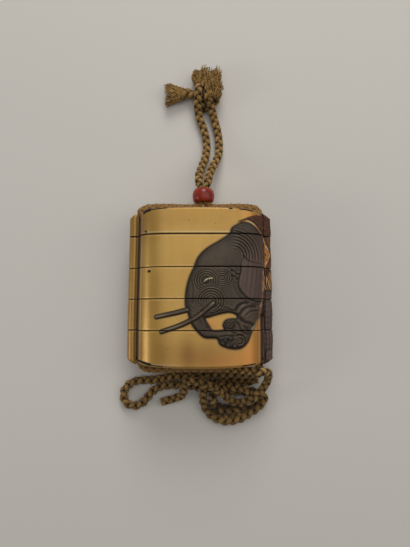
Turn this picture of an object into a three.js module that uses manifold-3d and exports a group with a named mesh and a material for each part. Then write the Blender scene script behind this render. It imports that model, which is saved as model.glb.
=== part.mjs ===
// An inro: a small Japanese tiered case of lacquered wood. Four cases and a lid stack along +Y and fit
// into each other by risers. A cord runs down both sides through runners, is tied in a bow below the
// base, passes through a bead above the lid, and ends in a knot with two frayed tips.
// The case lies on its back: +X is its width, +Y points from its base to its lid, and +Z is up.
import * as THREE from 'three';
import { mergeVertices } from 'three/addons/utils/BufferGeometryUtils.js';
import Module from 'manifold-3d';

const wasm = await Module();
wasm.setup();

// ---- Driving dimensions, in millimetres ----
const caseHeight = 65.4;                             // base to lid, along Y
const partingHeights = [-17.8, -4.8, 8.3, 22];       // the joints between the tiers, along Y
const partingGap = 0.3;
const middleHeight = 13.6;                           // the case's middle plane above the surface
const panel = { halfThickness: 13.2, fullHalfWidth: 28, edge: 26.6, power: 5, root: 1.7, points: 13 };
const rib = { centre: 28.6, halfWidth: 2.4, halfThickness: 3.2, halfLength: 30.7, points: 9 };
const web = { start: 25.5, halfThickness: 2.7 };     // joins each rib to the case, at the groove's floor
const ribDecoration = { start: 26.7, height: 0.3 };  // the raised cloth on the right rib
const endRounding = [[0, 1.1], [0.35, 0.35], [1.2, 0]];   // distance from the end, and inset there
const riser = { halfWidth: 21.7, halfThickness: 11.6, height: 5 };
const pocket = { clearance: 0.3, depth: 5.4 };
const compartment = { halfWidth: 20.5, halfThickness: 10.4 };
const hollow = { power: 4, points: 24 };             // the rounded plan of risers and compartments
const floorThickness = { case: 1.3, base: 1.8, lid: 2.2 };
const runner = { offset: 25.4, radius: 2.3 };        // the channels that hold the cord
const relief = { panel: 0.8, fold: 1.05, ear: 1.1, tusk: 1.3, back: 0.5 };   // heights above the case
const bead = { x: 1.6, y: 40.65, radius: 4.7, length: 7, bore: 2.8, rim: 0.5, chamfer: 0.3, flatness: 0.8,
  sides: 20, rings: 7 };
const cord = { radius: 1.9, tightRadius: 1.5, sides: 10, gap: 0.3, shiftInBead: 0.4 };
const overcut = 1;                                   // how far a cutting shape reaches past what it cuts

// The knots' middles and half sizes, and the frayed tips' necks, directions, lengths and radii.
const knots = {
  end_knot: { centre: [1.2, 87.6, 4.4], halfSizes: [5, 5.4, 4.2] },
  bow_knot: { centre: [0.4, -42, 6.6], halfSizes: [9, 7, 6.4] },
};
const frayedTips = {
  frayed_tip_left: {
    neck: [-4.3, 90.2, 3.2], direction: Math.PI / 2, length: 12.4, radii: [1.5, 1.7, 2.7, 3.1],
    flatness: 0.85 },
  frayed_tip_top: {
    neck: [4.4, 93.2, 4.4], direction: -0.06, length: 9.4, radii: [4.2, 6, 6.6, 5.6], flatness: 0.62 },
};

const colours = {
  gold: { color: 0xb08a45, roughness: 0.3, metalness: 0.6 },
  coral: { color: 0x96281e, roughness: 0.25, metalness: 0 },
  cord: { color: 0x8c7448, roughness: 0.9, metalness: 0 },
};

// ---- Helpers ----
const half = caseHeight / 2;
const group = new THREE.Group();

function toSolid(geometry) {
  const plain = geometry.clone();
  plain.deleteAttribute('normal');
  plain.deleteAttribute('uv');
  const merged = mergeVertices(plain, 1e-4);
  return new wasm.Manifold(new wasm.Mesh({
    numProp: 3,
    vertProperties: Float32Array.from(merged.attributes.position.array),
    triVerts: Uint32Array.from(merged.index.array),
  }));
}

function toGeometry(solid) {
  const mesh = solid.getMesh();
  const geometry = new THREE.BufferGeometry();
  geometry.setAttribute('position', new THREE.BufferAttribute(mesh.vertProperties, 3));
  geometry.setIndex(new THREE.BufferAttribute(mesh.triVerts, 1));
  geometry.computeVertexNormals();
  return geometry;
}

function addMesh(name, geometry, finish) {
  const mesh = new THREE.Mesh(geometry, new THREE.MeshStandardMaterial(finish));
  mesh.name = name;
  group.add(mesh);
}

// A closed skin through rings of points that all have the same count, with flat ends.
function loft(rings) {
  const count = rings[0].length;
  const positions = rings.flat().flatMap((p) => [p.x, p.y, p.z]);
  const index = [];
  for (let r = 0; r + 1 < rings.length; r += 1) {
    for (let i = 0; i < count; i += 1) {
      const j = (i + 1) % count;
      const [a, b] = [r * count + i, r * count + j];
      index.push(a, b, b + count, a, b + count, a + count);
    }
  }
  const flat = rings[0].map((p) => new THREE.Vector2(p.x, p.z));
  const last = (rings.length - 1) * count;
  for (const [a, b, c] of THREE.ShapeUtils.triangulateShape(flat, [])) {
    index.push(a, c, b, last + a, last + b, last + c);
  }
  const geometry = new THREE.BufferGeometry();
  geometry.setAttribute('position', new THREE.Float32BufferAttribute(positions, 3));
  geometry.setIndex(index);
  return geometry;
}

// A prism along Y of an outline in X and Z, with both ends rounded by insets of the outline.
function roundedPrism(outlineAt, halfLength) {
  const levels = [
    ...endRounding.map(([distance, inset]) => [halfLength - distance, inset]),
    ...endRounding.map(([distance, inset]) => [distance - halfLength, inset]).reverse(),
  ];
  return toSolid(loft(levels.map(([y, inset]) => outlineAt(inset)
    .map(([x, z]) => new THREE.Vector3(x, y, middleHeight + z)))));
}

// A prism along Y of an outline in X and Z, from y0 to y1.
function prismAlongY(outline, y0, y1) {
  const shape = new THREE.Shape(outline.map(([x, z]) => new THREE.Vector2(x, z)));
  const geometry = new THREE.ExtrudeGeometry(shape, { depth: y1 - y0, bevelEnabled: false });
  geometry.rotateX(Math.PI / 2);
  geometry.translate(0, y1, middleHeight);
  return toSolid(geometry);
}

// A prism along Z of an outline in X and Y, in front of the middle plane or behind it.
function prismAlongZ(outline, side = 1) {
  const shape = new THREE.Shape(outline.map(([x, y]) => new THREE.Vector2(x, y)));
  const geometry = new THREE.ExtrudeGeometry(shape, { depth: middleHeight * 2, bevelEnabled: false });
  geometry.translate(0, 0, side > 0 ? middleHeight : -middleHeight);
  return toSolid(geometry);
}

function boxSolid(x0, x1, y0, y1, z0, z1) {
  const geometry = new THREE.BoxGeometry(x1 - x0, y1 - y0, z1 - z0);
  geometry.translate((x0 + x1) / 2, (y0 + y1) / 2, (z0 + z1) / 2);
  return toSolid(geometry);
}

// ---- The case's outer form ----
// The front and back panels: flat in the middle and falling away to an edge beside each rib.
function panelOutline(grow) {
  const edge = panel.edge + Math.min(grow, 0);
  const front = [];
  for (let i = 0; i < panel.points; i += 1) {
    const x = edge * Math.sin((Math.PI / 2) * (1 - (2 * i) / (panel.points - 1)));
    const fall = 1 - (Math.abs(x) / (panel.fullHalfWidth + grow)) ** panel.power;
    front.push([x, (panel.halfThickness + grow) * fall ** (1 / panel.root)]);
  }
  return [...front, ...front.map(([x, z]) => [-x, -z])];
}

// The rounded rib down each side, with the web that joins it to the case.
function ribOutline(side, grow) {
  const sweep = Math.PI - Math.asin(web.halfThickness / rib.halfThickness);
  const outline = [];
  for (let i = 0; i < rib.points; i += 1) {
    const turn = sweep * ((2 * i) / (rib.points - 1) - 1);
    outline.push([
      rib.centre + (rib.halfWidth + grow) * Math.cos(turn),
      (rib.halfThickness + grow) * Math.sin(turn),
    ]);
  }
  outline.push([web.start, web.halfThickness + grow], [web.start, -web.halfThickness - grow]);
  return side > 0 ? outline : outline.map(([x, z]) => [-x, z]).reverse();
}

// ---- The elephant relief ----
// A smooth closed outline through a few points.
function smoothOutline(points, count) {
  const curve = new THREE.CatmullRomCurve3(
    points.map(([x, y]) => new THREE.Vector3(x, y, 0)), true, 'centripetal');
  return curve.getSpacedPoints(count).slice(0, count).map((p) => [p.x, p.y]);
}

function roundOutline(x, y, radius, count) {
  return Array.from({ length: count }, (_, i) => {
    const turn = (2 * Math.PI * i) / count;
    return [x + radius * Math.cos(turn), y + radius * Math.sin(turn)];
  });
}

// A stroke that tapers from its root to its tip, round at the tip.
function taperedStroke(points, rootRadius, tipRadius, steps) {
  const curve = new THREE.CatmullRomCurve3(points.map(([x, y]) => new THREE.Vector3(x, y, 0)));
  const left = [];
  const right = [];
  for (let i = 0; i <= steps; i += 1) {
    const at = curve.getPoint(i / steps);
    const along = curve.getTangent(i / steps);
    const radius = rootRadius + (tipRadius - rootRadius) * (i / steps);
    left.push([at.x - along.y * radius, at.y + along.x * radius]);
    right.unshift([at.x + along.y * radius, at.y - along.x * radius]);
  }
  const end = curve.getPoint(1);
  const way = curve.getTangent(1);
  return [...left, [end.x + way.x * tipRadius, end.y + way.y * tipRadius], ...right].reverse();
}

// The head, trunk and forefoot on the front, going round the right rib.
const headOutline = smoothOutline([
  [26.6, 29.6], [23.6, 30.6], [18.2, 27], [13.6, 24.4], [12, 21.4], [7.6, 18.6], [3, 15.8], [-0.4, 12.2],
  [-2.4, 7.8], [-4.4, 3], [-5.6, -2], [-5.8, -7], [-4.8, -10.6], [-3.2, -14.8], [-0.7, -18.2],
  [2.4, -20.6], [7, -21], [9, -23.8], [13, -25.1], [17.4, -24.6], [20.4, -22], [21.8, -16],
  [23.6, -10], [24.8, -3], [26.6, 4],
], 64);
const trunkWindow = smoothOutline([
  [3.1, -13.4], [7.2, -11.4], [12, -10.3], [15, -11.3], [14.5, -13.8], [11.1, -14.8], [10.6, -17.2],
  [4.7, -17.7],
], 16);
const earOutline = smoothOutline([
  [26.6, 9], [20, 8.4], [17, 6.9], [16.2, 1], [18.5, -3.5], [23.4, -5.4], [25.4, -1], [26.6, 4],
], 16);
const trunkCurl = roundOutline(12, -15.3, 2.3, 10);
const cheek = roundOutline(5.9, -5.2, 5, 14);
const brow = roundOutline(4.4, 3.2, 4, 12);
const nearTusk = taperedStroke([[5.9, -6.4], [-0.7, -11.8], [-7.6, -15.2], [-16, -18.6]], 1.3, 0.8, 7);
const farTusk = taperedStroke([[-4.8, -8.8], [-11, -10.8], [-18, -12]], 1.1, 0.7, 5);
// The body, hind leg and tail on the back.
const bodyOutline = smoothOutline([
  [31, 27], [22, 25.4], [10, 23], [-2, 20.6], [-10, 15], [-13.6, 6], [-13, -4], [-10.4, -12],
  [-9.6, -22], [-9, -27.4], [-1.6, -27.8], [0.6, -20], [4, -13.4], [12, -12], [17, -16], [18.4, -26.6],
  [24, -28.4], [31, -28.4],
], 40);
const tail = taperedStroke([[-12, 10], [-17.4, 4], [-18.4, -5], [-17, -13]], 1, 0.8, 6);

// A raised shape that follows the case's surface at a height above it.
function raised(outline, height, side = 1) {
  return prismAlongZ(outline, side).intersect(roundedPrism((inset) => panelOutline(height - inset), half));
}

function raisedOnRib() {
  const strip = boxSolid(ribDecoration.start, rib.centre + rib.halfWidth,
    -rib.halfLength, rib.halfLength, 0, middleHeight * 2);
  return strip.intersect(
    roundedPrism((inset) => ribOutline(1, ribDecoration.height - inset), rib.halfLength));
}

function caseBlank() {
  const blank = roundedPrism((inset) => panelOutline(-inset), half)
    .add(roundedPrism((inset) => ribOutline(1, -inset), rib.halfLength))
    .add(roundedPrism((inset) => ribOutline(-1, -inset), rib.halfLength))
    .add(raised(headOutline, relief.panel).subtract(prismAlongZ(trunkWindow)))
    .add(raised(earOutline, relief.ear))
    .add(raised(trunkCurl, relief.fold))
    .add(raised(cheek, relief.fold))
    .add(raised(brow, relief.fold))
    .add(raised(nearTusk, relief.tusk))
    .add(raised(farTusk, relief.panel))
    .add(raised(bodyOutline, relief.back, -1))
    .add(raised(tail, relief.back, -1))
    .add(raisedOnRib());
  // The back relief is worn flat where the case lies on it.
  return blank.subtract(boxSolid(-half, half, -half, half, -overcut, 0));
}

// ---- The tiers ----
function hollowOutline(halfWidth, halfThickness) {
  const outline = [];
  for (let i = 0; i < hollow.points; i += 1) {
    const turn = (2 * Math.PI * i) / hollow.points;
    const [c, s] = [Math.cos(turn), Math.sin(turn)];
    const reach = (Math.abs(c) ** hollow.power + Math.abs(s) ** hollow.power) ** (-1 / hollow.power);
    outline.push([halfWidth * c * reach, halfThickness * s * reach]);
  }
  return outline;
}

const riserOutline = hollowOutline(riser.halfWidth, riser.halfThickness);
const pocketOutline = hollowOutline(riser.halfWidth + pocket.clearance, riser.halfThickness + pocket.clearance);
const compartmentOutline = hollowOutline(compartment.halfWidth, compartment.halfThickness);

function runnerChannel(side) {
  const geometry = new THREE.CylinderGeometry(runner.radius, runner.radius, caseHeight * 1.1, 12);
  geometry.translate(side * runner.offset, 0, middleHeight);
  return toSolid(geometry);
}

function slice(blank, bottom, top) {
  return blank.intersect(boxSolid(-half, half, bottom, top, -overcut, middleHeight * 3));
}

function openCase(blank, bottom, top, floor) {
  return slice(blank, bottom, top)
    .add(prismAlongY(riserOutline, top - overcut, top + riser.height))
    .subtract(prismAlongY(compartmentOutline, floor, top + riser.height + overcut));
}

function addTiers() {
  const blank = caseBlank().subtract(runnerChannel(1)).subtract(runnerChannel(-1));
  const lidBottom = partingHeights[3] + partingGap / 2;
  const lid = slice(blank, lidBottom, half)
    .subtract(prismAlongY(pocketOutline, lidBottom - overcut, half - floorThickness.lid));
  addMesh('lid', toGeometry(lid), colours.gold);
  for (let level = 3; level > 0; level -= 1) {
    const bottom = partingHeights[level - 1] + partingGap / 2;
    const ceiling = bottom + pocket.depth;
    const solid = openCase(blank, bottom, partingHeights[level] - partingGap / 2,
      ceiling + floorThickness.case);
    addMesh(`case_${4 - level}`, toGeometry(
      solid.subtract(prismAlongY(pocketOutline, bottom - overcut, ceiling))), colours.gold);
  }
  const base = openCase(blank, -half, partingHeights[0] - partingGap / 2, floorThickness.base - half);
  addMesh('case_4', toGeometry(base), colours.gold);
}

// ---- The bead ----
function addBead() {
  const profile = [];
  for (let i = 0; i <= bead.rings; i += 1) {
    const turn = Math.PI * (i / bead.rings - 0.5);
    const swell = Math.max(Math.cos(turn), 0) ** bead.flatness;
    profile.push(new THREE.Vector2(
      bead.bore + bead.rim + (bead.radius - bead.bore - bead.rim) * swell,
      (bead.length / 2) * Math.sin(turn)));
  }
  profile.push(new THREE.Vector2(bead.bore, bead.length / 2 - bead.chamfer));
  profile.push(new THREE.Vector2(bead.bore, bead.chamfer - bead.length / 2));
  profile.push(profile[0].clone());
  const geometry = new THREE.LatheGeometry(profile, bead.sides);
  geometry.translate(bead.x, bead.y, middleHeight);
  addMesh('bead', toGeometry(toSolid(geometry)), colours.coral);
}

// ---- The cord ----
// The cord's route, listed by hand, with the number of steps of each stretch.
const stretches = {
  cord_over_lid_left: { steps: 10, points: [
    [-25.4, 32.1, 13.6], [-25.4, 33.7, 13.6], [-23.4, 35.4, 13.6], [-20, 35.3, 13.6], [-14, 35, 13.6],
    [-7, 34.9, 13.6], [1.3, 34.9, 13.6]] },
  cord_over_lid_right: { steps: 9, points: [
    [25.4, 32.1, 13.6], [25.4, 33.7, 13.6], [23.4, 35.4, 13.6], [20, 35.3, 13.6], [14, 35, 13.6],
    [8, 34.9, 13.6], [1.9, 34.9, 13.6]] },
  cord_above_bead_left: { steps: 6, points: [
    [-0.4, 46.4, 12.6], [-0.4, 50.6, 9.8], [1.1, 54.9, 6.8], [2.4, 59.6, 4.2], [3, 63.8, 2.6],
    [3, 67.7, 2], [2.3, 71.5, 2], [1.1, 75.2, 2], [-0.2, 79, 2.2], [-0.8, 81.6, 2.6]] },
  cord_above_bead_right: { steps: 6, points: [
    [3.9, 46.6, 12.4], [5.4, 51.4, 9.4], [7, 55.8, 6.8], [8.3, 60.5, 4.2], [8.7, 64.8, 2.6],
    [8.6, 68.8, 2], [7.9, 73.2, 2], [6.9, 77.1, 2], [5.8, 80.7, 2.4], [5, 82.2, 2.6]] },
  cord_in_runner_left: { steps: 1, points: [[-25.4, -31.6, 13.6], [-25.4, 31.6, 13.6]] },
  cord_in_runner_right: { steps: 1, points: [[25.4, -31.6, 13.6], [25.4, 31.6, 13.6]] },
  cord_under_base: { steps: 12, radius: cord.tightRadius, points: [
    [-25.4, -32, 13.6], [-25.4, -33.2, 13.6], [-24, -34.7, 13.6], [-21, -34.7, 13.6], [-8, -34.5, 13.6],
    [4, -34.5, 13.6], [13, -34.5, 13.8], [18, -34.7, 14.8]] },
  bow_side_loop: { steps: 10, points: [
    [19, -34.9, 15], [25.2, -35.2, 18], [29.4, -35.8, 15.6], [30.4, -37.8, 12.4], [29.8, -40.6, 9.8],
    [28, -43.4, 8], [25, -46.2, 6.6], [21.4, -48.6, 4.8], [17.2, -49.8, 4], [13.2, -48.8, 5.4],
    [11, -46.8, 7.2]] },
  bow_right_lead: { steps: 6, points: [
    [25.4, -32.2, 13.6], [25.4, -34.4, 13.4], [24.8, -36.8, 11.2], [20.8, -37.3, 9], [14, -37.1, 8.2],
    [10, -37.4, 7.6]] },
  bow_left_loop: { steps: 9, points: [
    [-9.6, -38.4, 3.6], [-15, -39.2, 2.6], [-20.4, -40.4, 2], [-25.4, -40.4, 2], [-30, -41.4, 2],
    [-33.2, -44.2, 2], [-33.9, -47.8, 2], [-31.8, -51, 2], [-28, -51.5, 2], [-24.4, -49.4, 2],
    [-21.2, -46, 2], [-17.2, -43.8, 2], [-12, -42.9, 2.2], [-9.8, -42.8, 2.4]] },
  bow_left_end: { steps: 2, points: [[-9.4, -47.6, 2.8], [-11.8, -48.6, 2.1], [-16.6, -50, 2]] },
  bow_right_loop: { steps: 11, points: [
    [8.4, -45.4, 2.2], [13, -45.5, 2.2], [20, -45.5, 2.2], [25, -45.6, 2], [28.2, -46.9, 2],
    [28.6, -49.6, 2], [26.4, -52.6, 2], [22.4, -55.6, 2], [17.4, -58.2, 2], [11.4, -59.2, 2],
    [6, -57.6, 2], [2.6, -54, 2.2], [1.9, -51.2, 3]] },
  bow_right_end: { steps: 2, points: [[10, -40.2, 2.2], [14, -41, 2], [19, -41.1, 2], [23.4, -41.2, 2]] },
};

function cordTube({ points, steps, radius = cord.radius }) {
  const path = new THREE.CatmullRomCurve3(
    points.map(([x, y, z]) => new THREE.Vector3(x, y, z)), false, 'centripetal');
  const section = new THREE.Shape();
  for (let i = 0; i < cord.sides; i += 1) {
    const turn = (2 * Math.PI * i) / cord.sides;
    const [x, y] = [radius * Math.cos(turn), radius * Math.sin(turn)];
    if (i === 0) {
      section.moveTo(x, y);
    } else {
      section.lineTo(x, y);
    }
  }
  return new THREE.ExtrudeGeometry(section, { steps, extrudePath: path, bevelEnabled: false });
}

function addCords() {
  for (const [name, stretch] of Object.entries(stretches)) {
    addMesh(name, cordTube(stretch), colours.cord);
  }
  // The two strands squeezed together in the bead's bore.
  const squeezed = bead.bore - cord.gap;
  const strands = new THREE.CylinderGeometry(squeezed, squeezed, bead.length, cord.sides);
  strands.translate(bead.x, bead.y + cord.shiftInBead, middleHeight);
  addMesh('cord_in_bead', strands, colours.cord);
}

// A knot is a soft lump.
function addKnot(name, { centre, halfSizes }) {
  const geometry = new THREE.SphereGeometry(1, 12, 8);
  geometry.rotateX(Math.PI / 2);
  geometry.scale(...halfSizes);
  geometry.translate(...centre);
  addMesh(name, toGeometry(toSolid(geometry)), colours.cord);
}

// A frayed tip is a brush that spreads from its neck, lying along a direction in the plane.
function addFrayedTip(name, { neck, direction, length, radii, flatness }) {
  const profile = [new THREE.Vector2(0, 0)];
  for (let i = 0; i < radii.length; i += 1) {
    profile.push(new THREE.Vector2(radii[i], (length * i) / (radii.length - 1)));
  }
  profile.push(new THREE.Vector2(0, length));
  const geometry = new THREE.LatheGeometry(profile, 12);
  geometry.scale(1, 1, flatness);
  geometry.rotateZ(direction);
  geometry.translate(...neck);
  addMesh(name, toGeometry(toSolid(geometry)), colours.cord);
}

addTiers();
addBead();
addCords();
for (const [name, knot] of Object.entries(knots)) {
  addKnot(name, knot);
}
for (const [name, tip] of Object.entries(frayedTips)) {
  addFrayedTip(name, tip);
}

export default group;
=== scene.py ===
import math

import bmesh
import bpy
import numpy as np
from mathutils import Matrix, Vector


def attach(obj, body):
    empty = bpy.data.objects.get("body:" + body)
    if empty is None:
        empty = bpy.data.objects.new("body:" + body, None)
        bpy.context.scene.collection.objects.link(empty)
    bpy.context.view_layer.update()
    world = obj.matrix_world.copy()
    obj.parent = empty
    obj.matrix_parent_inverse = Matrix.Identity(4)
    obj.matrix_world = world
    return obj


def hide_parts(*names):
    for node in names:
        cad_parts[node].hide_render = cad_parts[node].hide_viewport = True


# An inro: a small tiered case of gold lacquer, lying on its back with its cord, bead, bow and end knot.
# Sizes in the dictionaries are millimetres; the frame is in metres.
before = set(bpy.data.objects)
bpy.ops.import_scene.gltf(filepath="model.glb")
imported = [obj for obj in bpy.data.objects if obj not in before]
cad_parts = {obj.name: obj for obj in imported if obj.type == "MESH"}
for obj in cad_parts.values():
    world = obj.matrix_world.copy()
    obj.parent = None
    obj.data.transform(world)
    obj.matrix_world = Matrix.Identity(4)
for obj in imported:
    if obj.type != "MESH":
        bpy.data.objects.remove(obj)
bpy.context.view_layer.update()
mm = 0.001
scene = bpy.context.scene
scene.view_settings.view_transform = "Standard"
scene.view_settings.look = "None"


def addObject(name, data):
    made = bpy.data.objects.new(name, data)
    scene.collection.objects.link(made)
    return made


def aim(made, stand, target):          # stands an object at a place and turns it towards another
    made.location = stand
    made.rotation_euler = (Vector(target) - Vector(stand)).to_track_quat("-Z", "Y").to_euler()


# the camera looks almost straight down
view = {"place": (2.28, -10.6, 260.8), "target": (2.28, 6.4, 13.8), "lens": 37.78, "near": 0.01}


def addCamera():
    data = bpy.data.cameras.new("camera")
    data.lens, data.clip_start = view["lens"], view["near"]
    scene.camera = addObject("camera", data)
    aim(scene.camera, Vector(view["place"]) * mm, Vector(view["target"]) * mm)


addCamera()
print("camera placed")


def fill(node, inputs):                # links a node's inputs to sockets, or sets them to values
    for key, value in inputs.items():
        if isinstance(value, bpy.types.NodeSocket):
            node.id_data.links.new(value, node.inputs[key])
        else:
            node.inputs[key].default_value = value
    return node


def place(tree, kind, inputs={}, **settings):  # a new node
    made = tree.nodes.new(kind)
    for key, value in settings.items():
        setattr(made, key, value)
    return fill(made, inputs)


def geo(tree, kind, inputs={}, **settings):    # the first output of a geometry node
    return place(tree, "GeometryNode" + kind, inputs, **settings).outputs[0]


def treeOf(values):                    # the tree that the sockets among the values are in
    return next(value.id_data for value in values if isinstance(value, bpy.types.NodeSocket))


def maths(operation, *values):
    return place(treeOf(values), "ShaderNodeMath", dict(enumerate(values)), operation=operation).outputs[0]


def times(product, *factors):
    for factor in factors:
        product = maths("MULTIPLY", product, factor)
    return product


def vectors(operation, *values):
    return place(treeOf(values), "ShaderNodeVectorMath", dict(enumerate(values)), operation=operation).outputs[0]


def scaled(vector, amount):
    return place(vector.id_data, "ShaderNodeVectorMath", {0: vector, "Scale": amount}, operation="SCALE").outputs[0]


def combined(*parts):                  # a vector
    return place(treeOf(parts), "ShaderNodeCombineXYZ", dict(enumerate(parts))).outputs[0]


def between(amount, first, second):    # a number from first to second
    return place(treeOf((amount, first)), "ShaderNodeMix", {0: amount, 2: first, 3: second},
                 data_type="FLOAT").outputs[0]


def layered(base, look, *coats):       # colours laid over one another, each by its own amount
    for amount, name in coats:
        coat = name if isinstance(name, bpy.types.NodeSocket) else look[name]
        base = place(amount.id_data, "ShaderNodeMix", {0: amount, 6: base, 7: coat}, data_type="RGBA").outputs[2]
    return base


def spread(value, low, high, newLow=0.0, newHigh=1.0):
    return place(value.id_data, "ShaderNodeMapRange", {0: value, 1: low, 2: high, 3: newLow, 4: newHigh}).outputs[0]


def noise(vector, scale, detail):      # a grey one and a coloured one
    return place(vector.id_data, "ShaderNodeTexNoise",
                 {"Vector": vector, "Scale": scale, "Detail": detail}).outputs


def palette(**tones):                  # display values from 0 to 255, turned into linear ones
    return {name: (*(v / 12.92 if v <= 0.04045 else ((v + 0.055) / 1.055) ** 2.4
                     for v in (part / 255 for part in tone)), 1.0) for name, tone in tones.items()}


def newTree(name, kind, inputs, outputs):      # a node group, its inputs and its last node
    tree = bpy.data.node_groups.new(name, kind)
    for way, sockets in (("INPUT", inputs), ("OUTPUT", outputs)):
        for label, socket in sockets.items():
            tree.interface.new_socket(label, in_out=way, socket_type="NodeSocket" + socket)
    return tree, tree.nodes.new("NodeGroupInput").outputs, tree.nodes.new("NodeGroupOutput")


def finishTree(tree, given, result, geometry):
    real = geo(tree, "RealizeInstances", {0: geo(tree, "SetShadeSmooth", {"Geometry": geometry})})
    fill(result, {0: geo(tree, "SetMaterial", {"Geometry": real, "Material": given["Material"]})})
    return tree


def keep(geometry, name, value):       # stores a value on the points under a name
    return geo(geometry.id_data, "StoreNamedAttribute", {"Geometry": geometry, "Name": name, "Value": value},
               data_type="FLOAT", domain="POINT")


def evaluated(source, *others):        # an object as a plain mesh; it and the others are then removed
    depsgraph = bpy.context.evaluated_depsgraph_get()
    mesh = bpy.data.meshes.new_from_object(source.evaluated_get(depsgraph), depsgraph=depsgraph)
    source.modifiers.clear()
    for made in (source, *others):
        bpy.data.objects.remove(made)
    return mesh


def runTree(source, tree, values):     # the tree's result on the source
    modifier = source.modifiers.new(tree.name, "NODES")
    modifier.node_group = tree
    for item in tree.interface.items_tree:
        if item.in_out == "INPUT" and item.name in values:
            modifier[item.identifier] = values[item.name]
    return evaluated(source)


def addPiece(name, mesh, slot, *nodes):
    mesh.name = name
    piece = addObject(name, mesh)
    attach(piece, "root")
    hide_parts(*nodes)
    return piece


def attribute(where, name):            # read in the tree that the socket is in
    return place(where.id_data, "ShaderNodeAttribute", attribute_name=name).outputs["Fac"]


def fineGrain():                       # a fine speckle and a slow cloud, as a mask each
    group, given, result = newTree(
        "fineGrain", "ShaderNodeTree", {"Vector": "Vector", "Speckle scale": "Float", "Cloud scale": "Float"},
        {"Speckle": "Float", "Cloud": "Float"})
    for label, detail in (("Speckle", 2.0), ("Cloud", 4.0)):
        grey = noise(given["Vector"], given[label + " scale"], detail)[0]
        fill(result, {label: spread(grey, 0.3, 0.7)})
    return group


def wornAndLitEdges():                       # where the edges named by the rim attribute are lighter: rubbed gold, and painted highlight along the partings and the panels' rounded edges
    group, given, result = newTree("wornAndLitEdges", "ShaderNodeTree", {"Vector": "Vector", "Edge amount": "Float"},
                                   {"Worn and lit": "Float"})
    patchy = spread(noise(given["Vector"], 260.0, 3.0)[0], 0.35, 0.6, 0.35, 1.0)
    fill(result, {"Worn and lit": times(attribute(given["Vector"], "rim"), patchy, given["Edge amount"])})
    return group


grainGroup, wearAndSheenGroup = fineGrain(), wornAndLitEdges()


def newMaterial(name):
    material = bpy.data.materials.new(name)
    material.use_nodes = True
    tree = material.node_tree
    return material, tree.nodes["Principled BSDF"], place(tree, "ShaderNodeTexCoord").outputs["Object"]


def grain(where, speckleScale, cloudScale):
    made = place(where.id_data, "ShaderNodeGroup", node_tree=grainGroup)
    return fill(made, {"Vector": where, "Speckle scale": speckleScale, "Cloud scale": cloudScale}).outputs.values()


def wornAndLit(where, amount):
    made = place(where.id_data, "ShaderNodeGroup", node_tree=wearAndSheenGroup)
    return fill(made, {"Vector": where, "Edge amount": amount}).outputs["Worn and lit"]


def bump(height, strength, distance):
    return place(height.id_data, "ShaderNodeBump",
                 {"Height": height, "Strength": strength, "Distance": distance * mm}).outputs[0]


cordLook = {
    "roughness": 0.85, "specular": 0.2, "sheen": 0.12, "threadDepth": 0.12,
    # deep is the dark of the painted shade in the braid, and of a fine speckle
    **palette(light=(200, 162, 94), middle=(136, 98, 46), deep=(24, 13, 4), green=(108, 90, 32),
              rose=(186, 134, 88), taut=(141, 106, 62), soiled=(44, 30, 14)),
}


def cordMaterial():
    material, shader, where = newMaterial("braided silk")
    speckle, cloud = grain(where, 2600.0, 240.0)
    taut = attribute(where, "taut")     # pulled tight, its strands lie flat and even
    over = between(times(taut, 0.7), spread(attribute(where, "overUnder"), -0.75, 0.85), 0.75)
    thread = spread(attribute(where, "thread"), -1.0, 1.0)
    # painted shade: dark where one strand dips behind the next, on the strands' flanks and in the grooves between their
    # threads
    flank = between(times(taut, 0.6), spread(attribute(where, "facing"), 0.1, 0.72), 1.0)
    lit = times(over, flank, spread(thread, 0.0, 1.0, 0.55, 1.0))
    skin = layered(
        cordLook["deep"], cordLook, (spread(lit, 0.05, 0.9), "middle"),
        (times(lit, spread(attribute(where, "strandTone"), 0.0, 1.0, 0.35, 1.0)), "light"),
        (times(cloud, lit, 0.35), "green"), (times(maths("SUBTRACT", 1.0, cloud), lit, 0.3), "rose"),
        (times(speckle, 0.3), "deep"), (times(taut, 0.72), "taut"), (attribute(where, "soiled"), "soiled"))
    height = maths("ADD", thread, times(speckle, 0.6))
    fill(shader, {"Base Color": skin, "Roughness": cordLook["roughness"], "Sheen Weight": cordLook["sheen"],
                  "Specular IOR Level": cordLook["specular"], "Normal": bump(height, 0.7, cordLook["threadDepth"])})
    return material


silk = cordMaterial()

braid = {
    "strandRadius": 0.9,       # of one strand, along the cord's surface
    "flatness": 0.82,          # its thickness against its width
    "middleRadius": 0.98,      # how far the strands run from the cord's middle
    "lift": 0.3,               # how far they rise and sink where they cross
    "pitch": 6.9,              # one whole turn
    "ringSpacing": 0.42, "pathSpacing": 0.4,
    "threads": 6,              # flutes round each strand
    "threadDepth": 0.07,
    "turn": math.radians(45),
    "strandTones": (0.2, 0.9, 0.45, 0.7),
}


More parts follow.
